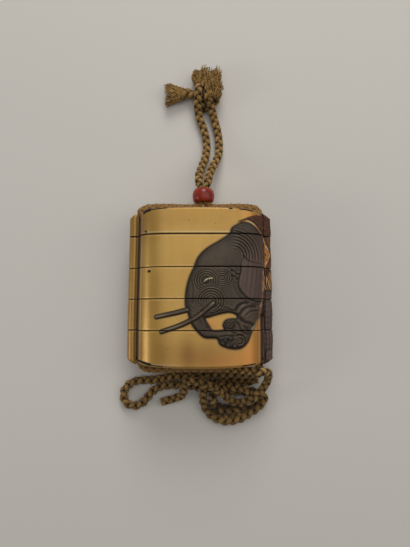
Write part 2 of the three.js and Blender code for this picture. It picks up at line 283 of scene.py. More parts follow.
def braidTree():                       # four strands, two each way round, that cross over and under
    floats = ("Strand radius", "Flatness", "Middle radius", "Lift", "Pitch", "Ring spacing", "Thread depth", "Turn")
    tree, given, result = newTree(
        "braidedCord", "GeometryNodeTree",
        {"Geometry": "Geometry", **dict.fromkeys(floats, "Float"), "Threads": "Int", "Material": "Material"},
        {"Geometry": "Geometry"})
    even = geo(tree, "ResampleCurve", {"Curve": given["Geometry"], "Length": given["Ring spacing"]}, mode="LENGTH")
    run = place(tree, "GeometryNodeSplineParameter").outputs["Length"]
    girth = geo(tree, "InputRadius")
    normal = place(tree, "GeometryNodeInputNormal").outputs["Normal"]
    side = vectors("CROSS_PRODUCT", geo(tree, "InputTangent"), normal)
    phase = times(maths("DIVIDE", run, given["Pitch"]), 2 * math.pi)
    crossing = maths("COSINE", times(phase, 2.0))
    # the section of one strand, fluted by its threads
    ring = geo(tree, "CurvePrimitiveCircle",
               {"Resolution": times(given["Threads"], 3.0), "Radius": given["Strand radius"]})
    around = times(place(tree, "GeometryNodeSplineParameter").outputs["Factor"], 2 * math.pi)
    flute = maths("COSINE", times(around, given["Threads"]))
    # the flutes and the way each point of the section faces are kept for the painted shade between threads and on the
    # strands' flanks
    ring = keep(ring, "thread", flute)
    ring = keep(ring, "facing", maths("ABSOLUTE", maths("COSINE", around)))
    stretch = maths("ADD", 1.0, times(flute, given["Thread depth"]))
    shape = vectors("MULTIPLY", scaled(geo(tree, "InputPosition"), stretch), combined(given["Flatness"], 1.0, 1.0))
    ring = geo(tree, "SetPosition", {"Geometry": ring, "Position": shape})
    joined = place(tree, "GeometryNodeJoinGeometry")
    for index, tone in enumerate(braid["strandTones"]):
        way = 1.0 if index < 2 else -1.0
        angle = maths("ADD", times(phase, way), maths("ADD", given["Turn"], math.pi * (index % 2)))
        over = times(crossing, way)
        reach = times(girth, maths("ADD", given["Middle radius"], times(over, given["Lift"])))
        outward = vectors("ADD", scaled(normal, maths("COSINE", angle)), scaled(side, maths("SINE", angle)))
        held = place(tree, "GeometryNodeCaptureAttribute")
        held.capture_items.new("VECTOR", "outward")
        # overUnder tells where a strand rises over or dips under, for its painted shade
        fill(held, {0: keep(keep(even, "overUnder", over), "strandTone", tone), 1: outward})
        moved = geo(tree, "SetPosition", {"Geometry": held.outputs[0], "Offset": scaled(outward, reach)})
        faced = geo(tree, "SetCurveNormal", {"Curve": moved, "Normal": held.outputs[1]}, mode="FREE")
        fill(joined, {0: geo(tree, "CurveToMesh", {"Curve": faced, "Profile Curve": ring, "Scale": girth,
                                                   "Fill Caps": True})})
    return finishTree(tree, given, result, joined.outputs[0])


braidNodes = braidTree()


def smoothPath(points, spacing):       # a curve through points of x, y, z and girth, in even steps
    points = np.array([p if len(p) == 4 else (*p, 1.0) for p in points], float)
    ends = np.vstack([2 * points[0] - points[1], points, 2 * points[-1] - points[-2]])
    dense = []
    for a, b, c, d in zip(ends[:-3], ends[1:-2], ends[2:-1], ends[3:]):
        t1 = np.linalg.norm((b - a)[:3]) ** 0.5
        t2 = t1 + np.linalg.norm((c - b)[:3]) ** 0.5
        t3 = t2 + np.linalg.norm((d - c)[:3]) ** 0.5
        for t in np.linspace(t1, t2, 24, endpoint=False):
            ab = a + (b - a) * t / t1
            bc = b + (c - b) * (t - t1) / (t2 - t1)
            cd = c + (d - c) * (t - t2) / (t3 - t2)
            abc = ab + (bc - ab) * t / t2
            bcd = bc + (cd - bc) * (t - t1) / (t3 - t1)
            dense.append(abc + (bcd - abc) * (t - t1) / (t2 - t1))
    dense = np.array([*dense, points[-1]])
    along = np.concatenate([[0], np.cumsum(np.linalg.norm(np.diff(dense[:, :3], axis=0), axis=1))])
    steps = np.linspace(0, along[-1], max(int(along[-1] / spacing), 2) + 1)
    return np.column_stack([np.interp(steps, along, dense[:, i]) for i in range(4)]), along[-1]


def pathObject(name, path):
    data = bpy.data.curves.new(name, "CURVE")
    data.dimensions, data.twist_mode = "3D", "MINIMUM"
    spline = data.splines.new("POLY")
    spline.points.add(len(path) - 1)
    spline.points.foreach_set("co", np.column_stack([path[:, :3] * mm, np.ones(len(path))]).ravel())
    spline.points.foreach_set("radius", path[:, 3])
    return addObject(name, data)


def braidedMesh(name, points):
    path, length = smoothPath(points, braid["pathSpacing"])
    mesh = runTree(pathObject(name + "Path", path), braidNodes, {
        "Strand radius": braid["strandRadius"] * mm, "Flatness": braid["flatness"],
        "Middle radius": braid["middleRadius"] * mm, "Lift": braid["lift"] * mm,
        "Pitch": braid["pitch"] * mm, "Ring spacing": braid["ringSpacing"] * mm,
        "Threads": braid["threads"], "Thread depth": braid["threadDepth"],
        "Turn": braid["turn"], "Material": silk})
    return mesh, path, length


tipValues = ("neck", "way", "length", "neckRadius", "early", "late", "flatness", "count", "yarnRadius", "wave",
             "crimp", "seed")          # early and late: the yarns' lean at the neck and at their ends, in degrees
tips = {name: dict(zip(tipValues, values)) for name, values in {
    "left": ((-7.4, 90.0, 3.0), (-1.0, -0.06, 0.0), 9.4, 2.5, 10, 20, 0.75, 260, 0.25, 0.75, 0.6, 4),
    "top": ((2.9, 92.6, 4.2), (0.05, 1.0, 0.0), 8.3, 4.0, 56, 14, 0.5, 480, 0.27, 1.6, 0.8, 11),
    "topSide": ((5.6, 87.0, 6.2), (0.1, 1.0, 0.05), 7.2, 2.7, 20, 10, 0.8, 260, 0.26, 1.8, 1.0, 5),
    "leftEnd": ((-16.2, -49.9, 2.0), (-0.96, -0.28, 0.0), 1.3, 1.5, 10, 18, 1.0, 60, 0.2, 0.15, 0.05, 7),
    "rightEnd": ((24.0, -40.6, 2.0), (0.95, 0.3, 0.0), 2.0, 1.3, 14, 26, 1.0, 80, 0.2, 0.3, 0.1, 9),
}.items()}


def frayTree():                        # loose yarns that spread from a neck, each with its own length and wave
    floats = ("Length", "Neck radius", "Early lean", "Late lean", "Flatness", "Yarn radius", "Wave", "Crimp")
    tree, given, result = newTree(
        "frayedTip", "GeometryNodeTree",
        {"Geometry": "Geometry", "Count": "Int", "Neck": "Vector", "Way": "Vector",
         **dict.fromkeys(floats, "Float"), "Seed": "Int", "Material": "Material"}, {"Geometry": "Geometry"})

    def chance(low, high, shift):
        return place(tree, "FunctionNodeRandomValue",
                     {2: low, 3: high, "Seed": maths("ADD", given["Seed"], float(shift))},
                     data_type="FLOAT").outputs[1]

    def recall(name):
        return geo(tree, "InputNamedAttribute", {"Name": name}, data_type="FLOAT")

    def shake(pace, detail, amount):   # a push to a side that changes along each yarn
        push = noise(combined(times(part, pace), recall("drift")), 1.0, detail)["Color"]
        return scaled(vectors("SUBTRACT", push, (0.5, 0.5, 0.5)), amount)

    points = geo(tree, "Points", {"Count": given["Count"]})
    points = keep(points, "spin", chance(0.0, 2 * math.pi, 1))
    points = keep(points, "ring", maths("SQRT", chance(0.0, 1.0, 2)))
    clump = spread(noise(combined(recall("spin"), given["Seed"]), 1.4, 0.0)[0], 0.3, 0.7, 0.72, 1.0)
    points = keep(points, "reach", times(chance(0.82, 1.0, 3), clump))
    points = keep(points, "strandTone", chance(0.0, 1.0, 4))
    points = keep(points, "drift", chance(0.0, 20.0, 5))
    line = geo(tree, "CurvePrimitiveLine", {"End": (0.0, 0.0, 1.0)})
    line = geo(tree, "ResampleCurve", {"Curve": line, "Count": 15}, mode="COUNT")
    yarns = geo(tree, "InstanceOnPoints", {"Points": points, "Instance": line})
    yarns = geo(tree, "RealizeInstances", {"Geometry": yarns})
    part = place(tree, "GeometryNodeSplineParameter").outputs["Factor"]
    yarns = keep(yarns, "facing", 1.0)
    # painted shade: the yarns are darker near the neck and deep inside the tuft
    blotch = noise(combined(recall("spin"), times(part, 3.0), times(recall("ring"), 3.0)), 1.8, 1.0)[0]
    blotch = between(spread(part, 0.0, 0.3), -0.3, spread(blotch, 0.34, 0.56, -0.4, 1.0))
    yarns = keep(yarns, "overUnder", blotch)
    yarns = keep(yarns, "thread", maths("SUBTRACT", times(recall("ring"), 1.5), 0.3))
    way = vectors("NORMALIZE", given["Way"])
    side = vectors("NORMALIZE", vectors("CROSS_PRODUCT", way, (0.0, 0.0, 1.0)))
    rise = vectors("CROSS_PRODUCT", side, way)
    # each yarn leans away from the middle, the more the nearer it is to the outside
    run = times(part, given["Length"], recall("reach"))
    bend = times(recall("ring"), between(part, given["Early lean"], given["Late lean"]))
    outward = maths("ADD", times(given["Neck radius"], recall("ring")), times(run, maths("SINE", bend)))
    across = times(outward, maths("COSINE", recall("spin")))
    up = times(outward, maths("SINE", recall("spin")), given["Flatness"])
    middle = given["Neck"]
    for step in (scaled(way, times(run, maths("COSINE", bend))), scaled(side, across), scaled(rise, up),
                 shake(2.4, 1.0, times(part, given["Wave"], 4.0)), shake(9.0, 0.0, times(given["Crimp"], 3.0))):
        middle = vectors("ADD", middle, step)
    split = place(tree, "ShaderNodeSeparateXYZ", {0: middle}).outputs
    above = maths("MAXIMUM", split[2], given["Yarn radius"])    # nothing goes below the floor
    yarns = geo(tree, "SetPosition", {"Geometry": yarns, "Position": combined(split[0], split[1], above)})
    ring = geo(tree, "CurvePrimitiveCircle", {"Resolution": 5, "Radius": given["Yarn radius"]})
    skin = geo(tree, "CurveToMesh", {"Curve": yarns, "Profile Curve": ring, "Fill Caps": True,
                                     "Scale": spread(part, 0.6, 1.0, 1.0, 0.45)})
    return finishTree(tree, given, result, skin)


frayNodes = frayTree()


def frayedMesh(tip):
    holder = addObject("tipHolder", bpy.data.meshes.new("tipHolder"))
    return runTree(holder, frayNodes, {
        "Count": tip["count"], "Neck": [v * mm for v in tip["neck"]], "Way": list(tip["way"]),
        "Length": tip["length"] * mm, "Neck radius": tip["neckRadius"] * mm,
        "Early lean": math.radians(tip["early"]), "Late lean": math.radians(tip["late"]),
        "Flatness": tip["flatness"], "Yarn radius": tip["yarnRadius"] * mm, "Wave": tip["wave"] * mm,
        "Crimp": tip["crimp"] * mm, "Seed": tip["seed"], "Material": silk})


caseMiddle = 13.6                      # its height above the floor
runnerX = 25.4                         # how far out the cords run through the case


def overLid(side):                     # from a runner round the lid's corner towards the bead
    corner = ((runnerX, 30.2), (25.7, 31.6), (25.2, 33.3), (23.3, 34.6), (20, 35), (14, 35.1))
    return [(side * x, y, caseMiddle) for x, y in corner]


# each route is a list of x, y, z and, where the cord is squeezed, its girth against the usual
routes = {
    "topLeft": [
        *overLid(-1), (-7, 34.9, 13.6), (-2.4, 35, 13.6), (-0.2, 36.2, 13.6, 0.9), (0.5, 38.4, 13.6, 0.66),
        (0.6, 41, 13.6, 0.62), (0.4, 43.6, 13.5, 0.7), (-0.3, 46.4, 12.4), (-0.3, 50.6, 9.8), (0.9, 54.9, 6.8),
        (2.4, 59.6, 4.2), (3, 63.8, 2.6), (3, 67.7, 2.05), (2.3, 71.5, 2.05), (1.1, 75.2, 2.05),
        (-0.3, 79, 2.3), (-0.9, 81.8, 3.2), (-1.1, 84.8, 4.9), (-0.9, 87.6, 6.2, 1.04),
        (-0.7, 90.4, 6.4, 1.04), (0.0, 92.8, 5.8, 0.95), (1.8, 94.3, 4.4, 0.85), (4.0, 93.0, 2.6, 0.8),
        (3.8, 89.8, 1.9, 0.8), (1, 88.8, 2.1, 0.95), (-2.2, 89.6, 2.6, 1.12), (-5.4, 90.2, 2.9, 1.22),
        (-8.6, 90.2, 3.0, 1.3)],
    "topRight": [
        *overLid(1), (8.6, 34.9, 13.6), (5.4, 35, 13.6), (3.4, 36.2, 13.6, 0.9), (2.7, 38.4, 13.6, 0.66),
        (2.6, 41, 13.6, 0.62), (2.9, 43.6, 13.4, 0.7), (3.4, 46.4, 12.4), (4.4, 50.8, 9.6), (6, 55.4, 6.8),
        (8.3, 60.5, 4.2), (8.7, 64.8, 2.6), (8.6, 68.8, 2.05), (7.9, 73.2, 2.05), (6.9, 77.1, 2.05),
        (5.9, 80.5, 2.7), (5.1, 83.2, 4.8), (4.1, 86, 6), (3.5, 88.8, 6.6), (4.4, 91.5, 6.7, 1.04),
        (6.6, 92.3, 6.0, 1.04), (8.0, 90.3, 5.0, 1.04), (7.6, 87.4, 3.6), (5.6, 85.2, 2.0, 0.9),
        (3.3, 83.4, 2.0, 0.9), (1.6, 83.2, 2.1, 0.9), (1.3, 85.2, 2.3, 0.85), (2.6, 87.4, 3.8, 0.85),
        (4.2, 90.4, 4.2, 0.9), (4.2, 94, 3.6, 0.9)],
    "baseLeft": [
        (-25.4, -30.4, 13.6, 0.8), (-25.2, -32, 13.6, 0.8), (-24.2, -33.6, 13.6, 0.8), (-21.6, -34.6, 13.6, 0.78),
        (-8, -34.5, 13.6, 0.75), (4, -34.5, 13.6, 0.75), (13, -34.5, 13.8, 0.78), (19, -34.9, 15, 0.9),
        (25.2, -35.2, 18), (28.8, -35.8, 15.6), (29.4, -37.8, 12.4), (28.8, -40.6, 10.4), (27, -43.6, 9.6),
        (24.6, -46.4, 9.4), (21.4, -48.6, 8.4), (17.2, -49.8, 6), (13.2, -48.8, 5.8), (11, -46.8, 7.2),
        (9.6, -45.6, 7.6), (6, -42.6, 10.2), (2, -40.8, 12.1), (-2.4, -39.8, 11.6), (-6.2, -40.6, 9.2),
        (-7, -43.8, 6.6), (-7.8, -46.8, 3.6), (-11.8, -48.6, 2.15), (-16.6, -50, 2.05)],
    "baseRight": [
        (25.4, -30.6, 13.6), (25.4, -34.4, 13.4), (24.8, -36.8, 11.2), (20.8, -37.3, 9), (14, -37.1, 8.2),
        (10, -37.4, 7.6), (8, -37.3, 7), (2, -38, 4.9), (-4, -38.4, 4.2), (-9.6, -38.4, 3.6), (-15, -39.2, 2.6),
        (-20.4, -40.4, 2.05), (-25.4, -40.4, 2.05), (-30, -41.4, 2.05), (-33.2, -44.2, 2.05),
        (-33.9, -47.8, 2.05), (-31.8, -51, 2.05), (-28, -51.6, 2.05), (-24.4, -49.4, 2.05), (-21.6, -45.8, 2.05),
        (-17.8, -43.4, 2.05), (-12.4, -42.5, 2.2), (-9.8, -42.6, 2.4), (-6, -42.6, 2.8), (0, -43.6, 2.6),
        (6, -44.8, 2.4), (8.4, -45.4, 2.2), (13, -45.5, 2.2), (20, -45.5, 2.2), (25, -45.6, 2.05),
        (28.2, -46.9, 2.05), (28.3, -49.4, 2.1, 1.04), (25.8, -51.9, 2.4, 1.15), (21.8, -54.6, 2.5, 1.22),
        (17, -57.1, 2.55, 1.25), (11.6, -58, 2.55, 1.25), (6.8, -56.6, 2.45, 1.2), (3.3, -53.8, 2.3, 1.1),
        (1.9, -51.2, 3), (1.6, -50, 3.6), (1.4, -46.4, 5.8), (1.1, -42.6, 7.6), (1.1, -39, 8.6), (2, -36, 7.8, 0.9),
        (3.6, -35, 5.2, 0.85), (5.2, -37, 3.4, 0.9), (5.7, -41.6, 2.4, 0.9), (5.7, -47.6, 5.2),
        (6.2, -50.8, 2.8, 1.12), (9.1, -53.0, 2.6, 1.22), (14.2, -53.3, 2.6, 1.22), (19, -52, 2.6, 1.15),
        (22.4, -49.6, 3.6), (22.8, -46.6, 6.2), (19.8, -43.8, 6.2), (14.4, -43.2, 6), (9.6, -42.6, 5.2),
        (8.4, -40.8, 3.4), (10.6, -40.2, 2.2), (15, -41, 2.05), (19.6, -41.4, 2.05), (22.8, -41, 2.05, 0.96),
        (24.4, -40.4, 2.0, 0.8)],
}


def store(mesh, name, values):         # stores a value on the points under a name
    held = mesh.attributes.get(name) or mesh.attributes.new(name, "FLOAT", "POINT")
    held.data.foreach_set("value", values.ravel().astype(np.float32))


def joinMeshes(meshes):
    bm = bmesh.new()
    for mesh in meshes:
        bm.from_mesh(mesh)
    joined = bpy.data.meshes.new("joined")
    bm.to_mesh(joined)
    bm.free()
    joined.materials.append(silk)
    for name in ("overUnder", "thread", "strandTone", "facing"):
        values = [np.zeros(len(mesh.vertices), np.float32) for mesh in meshes]
        for mesh, read in zip(meshes, values):
            mesh.attributes[name].data.foreach_get("value", read)
        store(joined, name, np.concatenate(values))
    return joined


def ramp(low, high, value):            # from nothing at low to one at high, softly
    t = np.clip((value - low) / (high - low), 0, 1)
    return t * t * (3 - 2 * t)


def fall(low, high, value):            # from one at low to nothing at high
    return 1 - ramp(low, high, value)


def band(start, full, last, end, value):       # one from full to last, nothing before start or after end
    return ramp(start, full, value) * fall(last, end, value)


def bell(away, width, power=2):        # one in the middle, falling off to both sides
    return np.exp(-(away / width) ** power)


def dome(away, radius):                # the height of a ball of one by its distance from the middle
    return np.sqrt(np.clip(1 - (away / radius) ** 2, 0, 1))


def masks(shape, *names):              # empty ones
    return {name: np.zeros(shape) for name in names}


def spot(x, y, cx, cy, wide, high):    # one at a place, falling off all round it
    return np.exp(-((x - cx) / wide) ** 2 - ((y - cy) / high) ** 2)


def deepen(tone, name, value):         # lays more over a mask
    tone[name] = np.maximum(tone[name], value)


def markUse(mesh):                     # where a cord is stretched over the case, and where painted shade darkens it
    at = np.zeros(len(mesh.vertices) * 3)
    mesh.vertices.foreach_get("co", at)
    x, y, z = at.reshape(-1, 3).T / mm
    tight = band(31.5, 33, 37.2, 38, np.abs(y)) * (np.abs(z - caseMiddle) < 2.4)
    store(mesh, "taut", tight * np.where(y > 0, 1.0, fall(8, 14, x)))
    # painted shade: the bow is darker overall and most inside its folds, and so is the cord below the end knot
    deep = 0.85 * spot(x, y, 8.4, -52.4, 5.4, 2.8) + 0.8 * spot(x, y, 20.5, -51, 4.6, 2.2)
    soiled = 0.25 * (y < -36.5) + 0.3 * spot(x, y, 14, -51.6, 9, 3.2) + deep * fall(3.8, 5.6, z)
    soiled = soiled + 0.55 * spot(x, y, 2.6, 83.2, 1.8, 2.4) + 0.25 * spot(x, y, 14, -40, 12, 3.5)
    store(mesh, "soiled", np.clip(soiled, 0, 0.92))


def triangles(mesh):                   # how many there are
    return sum(len(p.vertices) - 2 for p in mesh.polygons)


def addCords():
    pieces = {}
    plans = (
        ("topCordLeft", "topLeft", None, ("cord_over_lid_left", "cord_above_bead_left", "cord_in_bead")),
        ("topCordRight", "topRight", None, ("cord_over_lid_right", "cord_above_bead_right", "end_knot")),
        ("bowCordLeft", "baseLeft", "leftEnd", ("cord_under_base", "bow_side_loop", "bow_left_end")),
        ("bowCordRight", "baseRight", "rightEnd",
         ("bow_right_lead", "bow_left_loop", "bow_right_loop", "bow_right_end", "bow_knot")),
    )
    for name, route, tip, nodes in plans:
        mesh, path, length = braidedMesh(name, routes[route])
        if tip:
            mesh = joinMeshes([mesh, frayedMesh(tips[tip])])
        markUse(mesh)
        pieces[name] = (addPiece(name, mesh, "cord", *nodes), path, length)
        print(name, "length in mm", round(length, 1), "triangles", triangles(mesh))
    for name, x, node in (("runnerCordLeft", -runnerX, "cord_in_runner_left"),
                          ("runnerCordRight", runnerX, "cord_in_runner_right")):
        addPiece(name, braidedMesh(name, [(x, y, caseMiddle) for y in (-30.4, 0, 30.4)])[0], "cord", node)
    return pieces


cords = addCords()
frayedLeft = addPiece("frayedTipLeft", frayedMesh(tips["left"]), "cord", "frayed_tip_left")
topYarns = joinMeshes([frayedMesh(tips["top"]), frayedMesh(tips["topSide"])])
frayedTop = addPiece("frayedTipTop", topYarns, "cord", "frayed_tip_top")
print("cords made")


def outwards(mesh):
    bm = bmesh.new()
    bm.from_mesh(mesh)
    bmesh.ops.recalc_face_normals(bm, faces=bm.faces)
    bm.to_mesh(mesh)
    bm.free()


def ringMesh(name, rings, closed=False):       # a tube through rings of points, closed on itself or by end faces
    total, count = len(rings), len(rings[0])
    faces = []
    for i in range(total if closed else total - 1):
        low, high = i * count, (i + 1) % total * count
        faces += [(low + j, low + (j + 1) % count, high + (j + 1) % count, high + j) for j in range(count)]
    if not closed:
        faces += [tuple(range(count))[::-1], tuple(range((total - 1) * count, total * count))]
    mesh = bpy.data.meshes.new(name)
    mesh.from_pydata((np.array(rings).reshape(-1, 3) * mm).tolist(), [], faces)
    outwards(mesh)
    return mesh


beadShape = {"x": 1.6, "y": 40.45, "z": caseMiddle, "radius": 4.75, "length": 6.1, "bore": 2.7, "rim": 0.4,
             "dome": 1.5, "foot": 0.45, "around": 96, "rings": 40}
coralLook = {"roughness": 0.32, "specular": 0.3, "coat": 0.12, "coatRoughness": 0.08,
             **palette(core=(146, 34, 20), deep=(76, 12, 8), vein=(176, 78, 50))}


def coralMaterial():
    material, shader, where = newMaterial("polished coral")
    look = coralLook
    speckle, cloud = grain(where, 900.0, 210.0)
    stone = layered(look["core"], look, (cloud, "deep"), (times(speckle, 0.22), "vein"))
    fill(shader, {"Base Color": stone, "Roughness": look["roughness"], "Specular IOR Level": look["specular"],
                  "Coat Weight": look["coat"], "Coat Roughness": look["coatRoughness"],
                  "Normal": bump(cloud, 0.25, 0.06)})
    return material


def addBead():
    shape = beadShape
    bore, half, inner = shape["bore"], shape["length"] / 2, shape["bore"] + shape["rim"]
    profile = []
    for i in range(shape["rings"] + 1):
        turn = math.pi * (i / shape["rings"] - 0.5)
        swell = max(math.cos(turn), 0.0) ** (shape["dome"] if turn > 0 else shape["foot"])
        profile.append((inner + (shape["radius"] - inner) * swell, half * math.sin(turn)))
    profile += [(bore + 0.2, half - 0.05), (bore, half - 0.3), (bore, 0.0), (bore, 0.3 - half),
                (bore + 0.2, 0.05 - half)]
    turns = [2 * math.pi * j / shape["around"] for j in range(shape["around"])]
    mesh = ringMesh("bead", [[(shape["x"] + radius * math.cos(t), shape["y"] + along, shape["z"] + radius * math.sin(t))
                              for t in turns] for radius, along in profile], closed=True)
    mesh.shade_smooth()
    mesh.materials.append(coralMaterial())
    return addPiece("coralBead", mesh, "coral", "bead")


coralBead = addBead()
print("bead made")


caseShape = {
    "half": 32.7, "middle": caseMiddle,        # half its height along the stack, and its middle above the floor
    "partings": (-17.8, -4.8, 8.3, 22.0), "gap": 0.04,
    "halfThickness": 13.2, "fullHalfWidth": 28.0, "edge": 25.7, "power": 5.0, "root": 1.7,
    "arch": (1.4, 1.0), "cornerDrop": (0.5, 0.8),        # how the base's and the lid's end curve in plan
    "ribRise": 2.0,
    "taper": 0.75,                             # how much nearer its sides stand at the top than low down
    "ribCentre": 28.6, "ribHalfWidth": 2.4, "ribHalfThickness": 3.2, "ribHalfLength": 30.7,
    "grooveFloor": 2.7,
    "endRound": (1.1, 0.9),                    # how far the ends' rounding runs along the case, and inwards
    "tierEdge": ((0.0, 0.3), (0.12, 0.12), (0.26, 0.03), (0.42, 0.0)),   # the small rounding beside each parting
    "fine": 0.165, "plain": 0.34,              # spacing of the surface's points where it is carved and elsewhere
    "bridge": (-13, -10),                      # above here the beast's relief bridges the groove beside it
    "sharp": math.radians(48),                 # edges that turn more than this stay crisp
}
fit = {
    "riserHalfWidth": 21.7, "riserHalfThickness": 11.6, "riserHeight": 5.0, "clearance": 0.3,
    "pocketDepth": 5.4, "hollowHalfWidth": 20.5, "hollowHalfThickness": 10.4, "power": 4.0,
    "floor": 1.3, "baseFloor": 1.8, "lidFloor": 2.2, "channelOffset": runnerX, "channelRadius": 2.3,
    "around": 160, "channelAround": 40,        # points round a block and round a channel
}
# hollow is the colour of painted shade and of chips' dark, crest of painted highlight on the relief, silver of the
# eye's silver and of painted highlights and glints, groove of painted shade in the grooves
lacquerLook = palette(
    gold=(192, 154, 78), paleGold=(216, 176, 108), brownGold=(146, 98, 42), dark=(45, 38, 29),
    darkWarm=(63, 51, 38), plum=(80, 61, 55), hollow=(18, 10, 4), silver=(206, 192, 160), crest=(120, 100, 76),
    cloth=(98, 58, 36), gilt=(190, 132, 66), chip=(30, 16, 9), groove=(92, 60, 30), aged=(124, 80, 26),
    blush=(214, 138, 68), inner=(58, 18, 12), flake=(186, 132, 60))
lacquerLook["streaks"] = (260.0, 14.0, 260.0)      # the polish runs along the case


def lineDistance(x, y, line):          # the distance to a line of points, and how far along it that place is
    best, at, run = np.full(x.shape, 1e6), np.zeros(x.shape), 0.0
    for (x0, y0), (x1, y1) in zip(line[:-1], line[1:]):
        dx, dy = x1 - x0, y1 - y0
        length = math.hypot(dx, dy)
        t = np.clip(((x - x0) * dx + (y - y0) * dy) / max(length * length, 1e-9), 0, 1)
        away = np.hypot(x - x0 - t * dx, y - y0 - t * dy)
        nearer = away < best
        best, at = np.where(nearer, away, best), np.where(nearer, run + t * length, at)
        run += length
    return best, at


def insideDistance(x, y, outline):     # distance to a closed outline, positive inside it
    closed = [*outline, outline[0]]
    away, _ = lineDistance(x, y, closed)
    inside = np.zeros(x.shape, bool)
    for (x0, y0), (x1, y1) in zip(closed[:-1], closed[1:]):
        if y0 != y1:
            crosses = (y0 > y) != (y1 > y)
            inside ^= crosses & (x < x0 + (y - y0) * (x1 - x0) / (y1 - y0))
    return np.where(inside, away, -away)


def smoothLine(points, count=8, closed=False):
    points = [np.array(p, float) for p in points]
    ends = [points[-1], *points, *points[:2]] if closed else [2 * points[0] - points[1], *points,
                                                             2 * points[-1] - points[-2]]
    out = []
    for a, b, c, d in zip(ends[:-3], ends[1:-2], ends[2:-1], ends[3:]):
        for t in np.linspace(0, 1, count, endpoint=False):
            out.append(tuple(0.5 * (2 * b + (c - a) * t + (2 * a - 5 * b + 4 * c - d) * t * t
                                    + (3 * b - a - 3 * c + d) * t ** 3)))
    return out if closed else [*out, tuple(points[-1])]


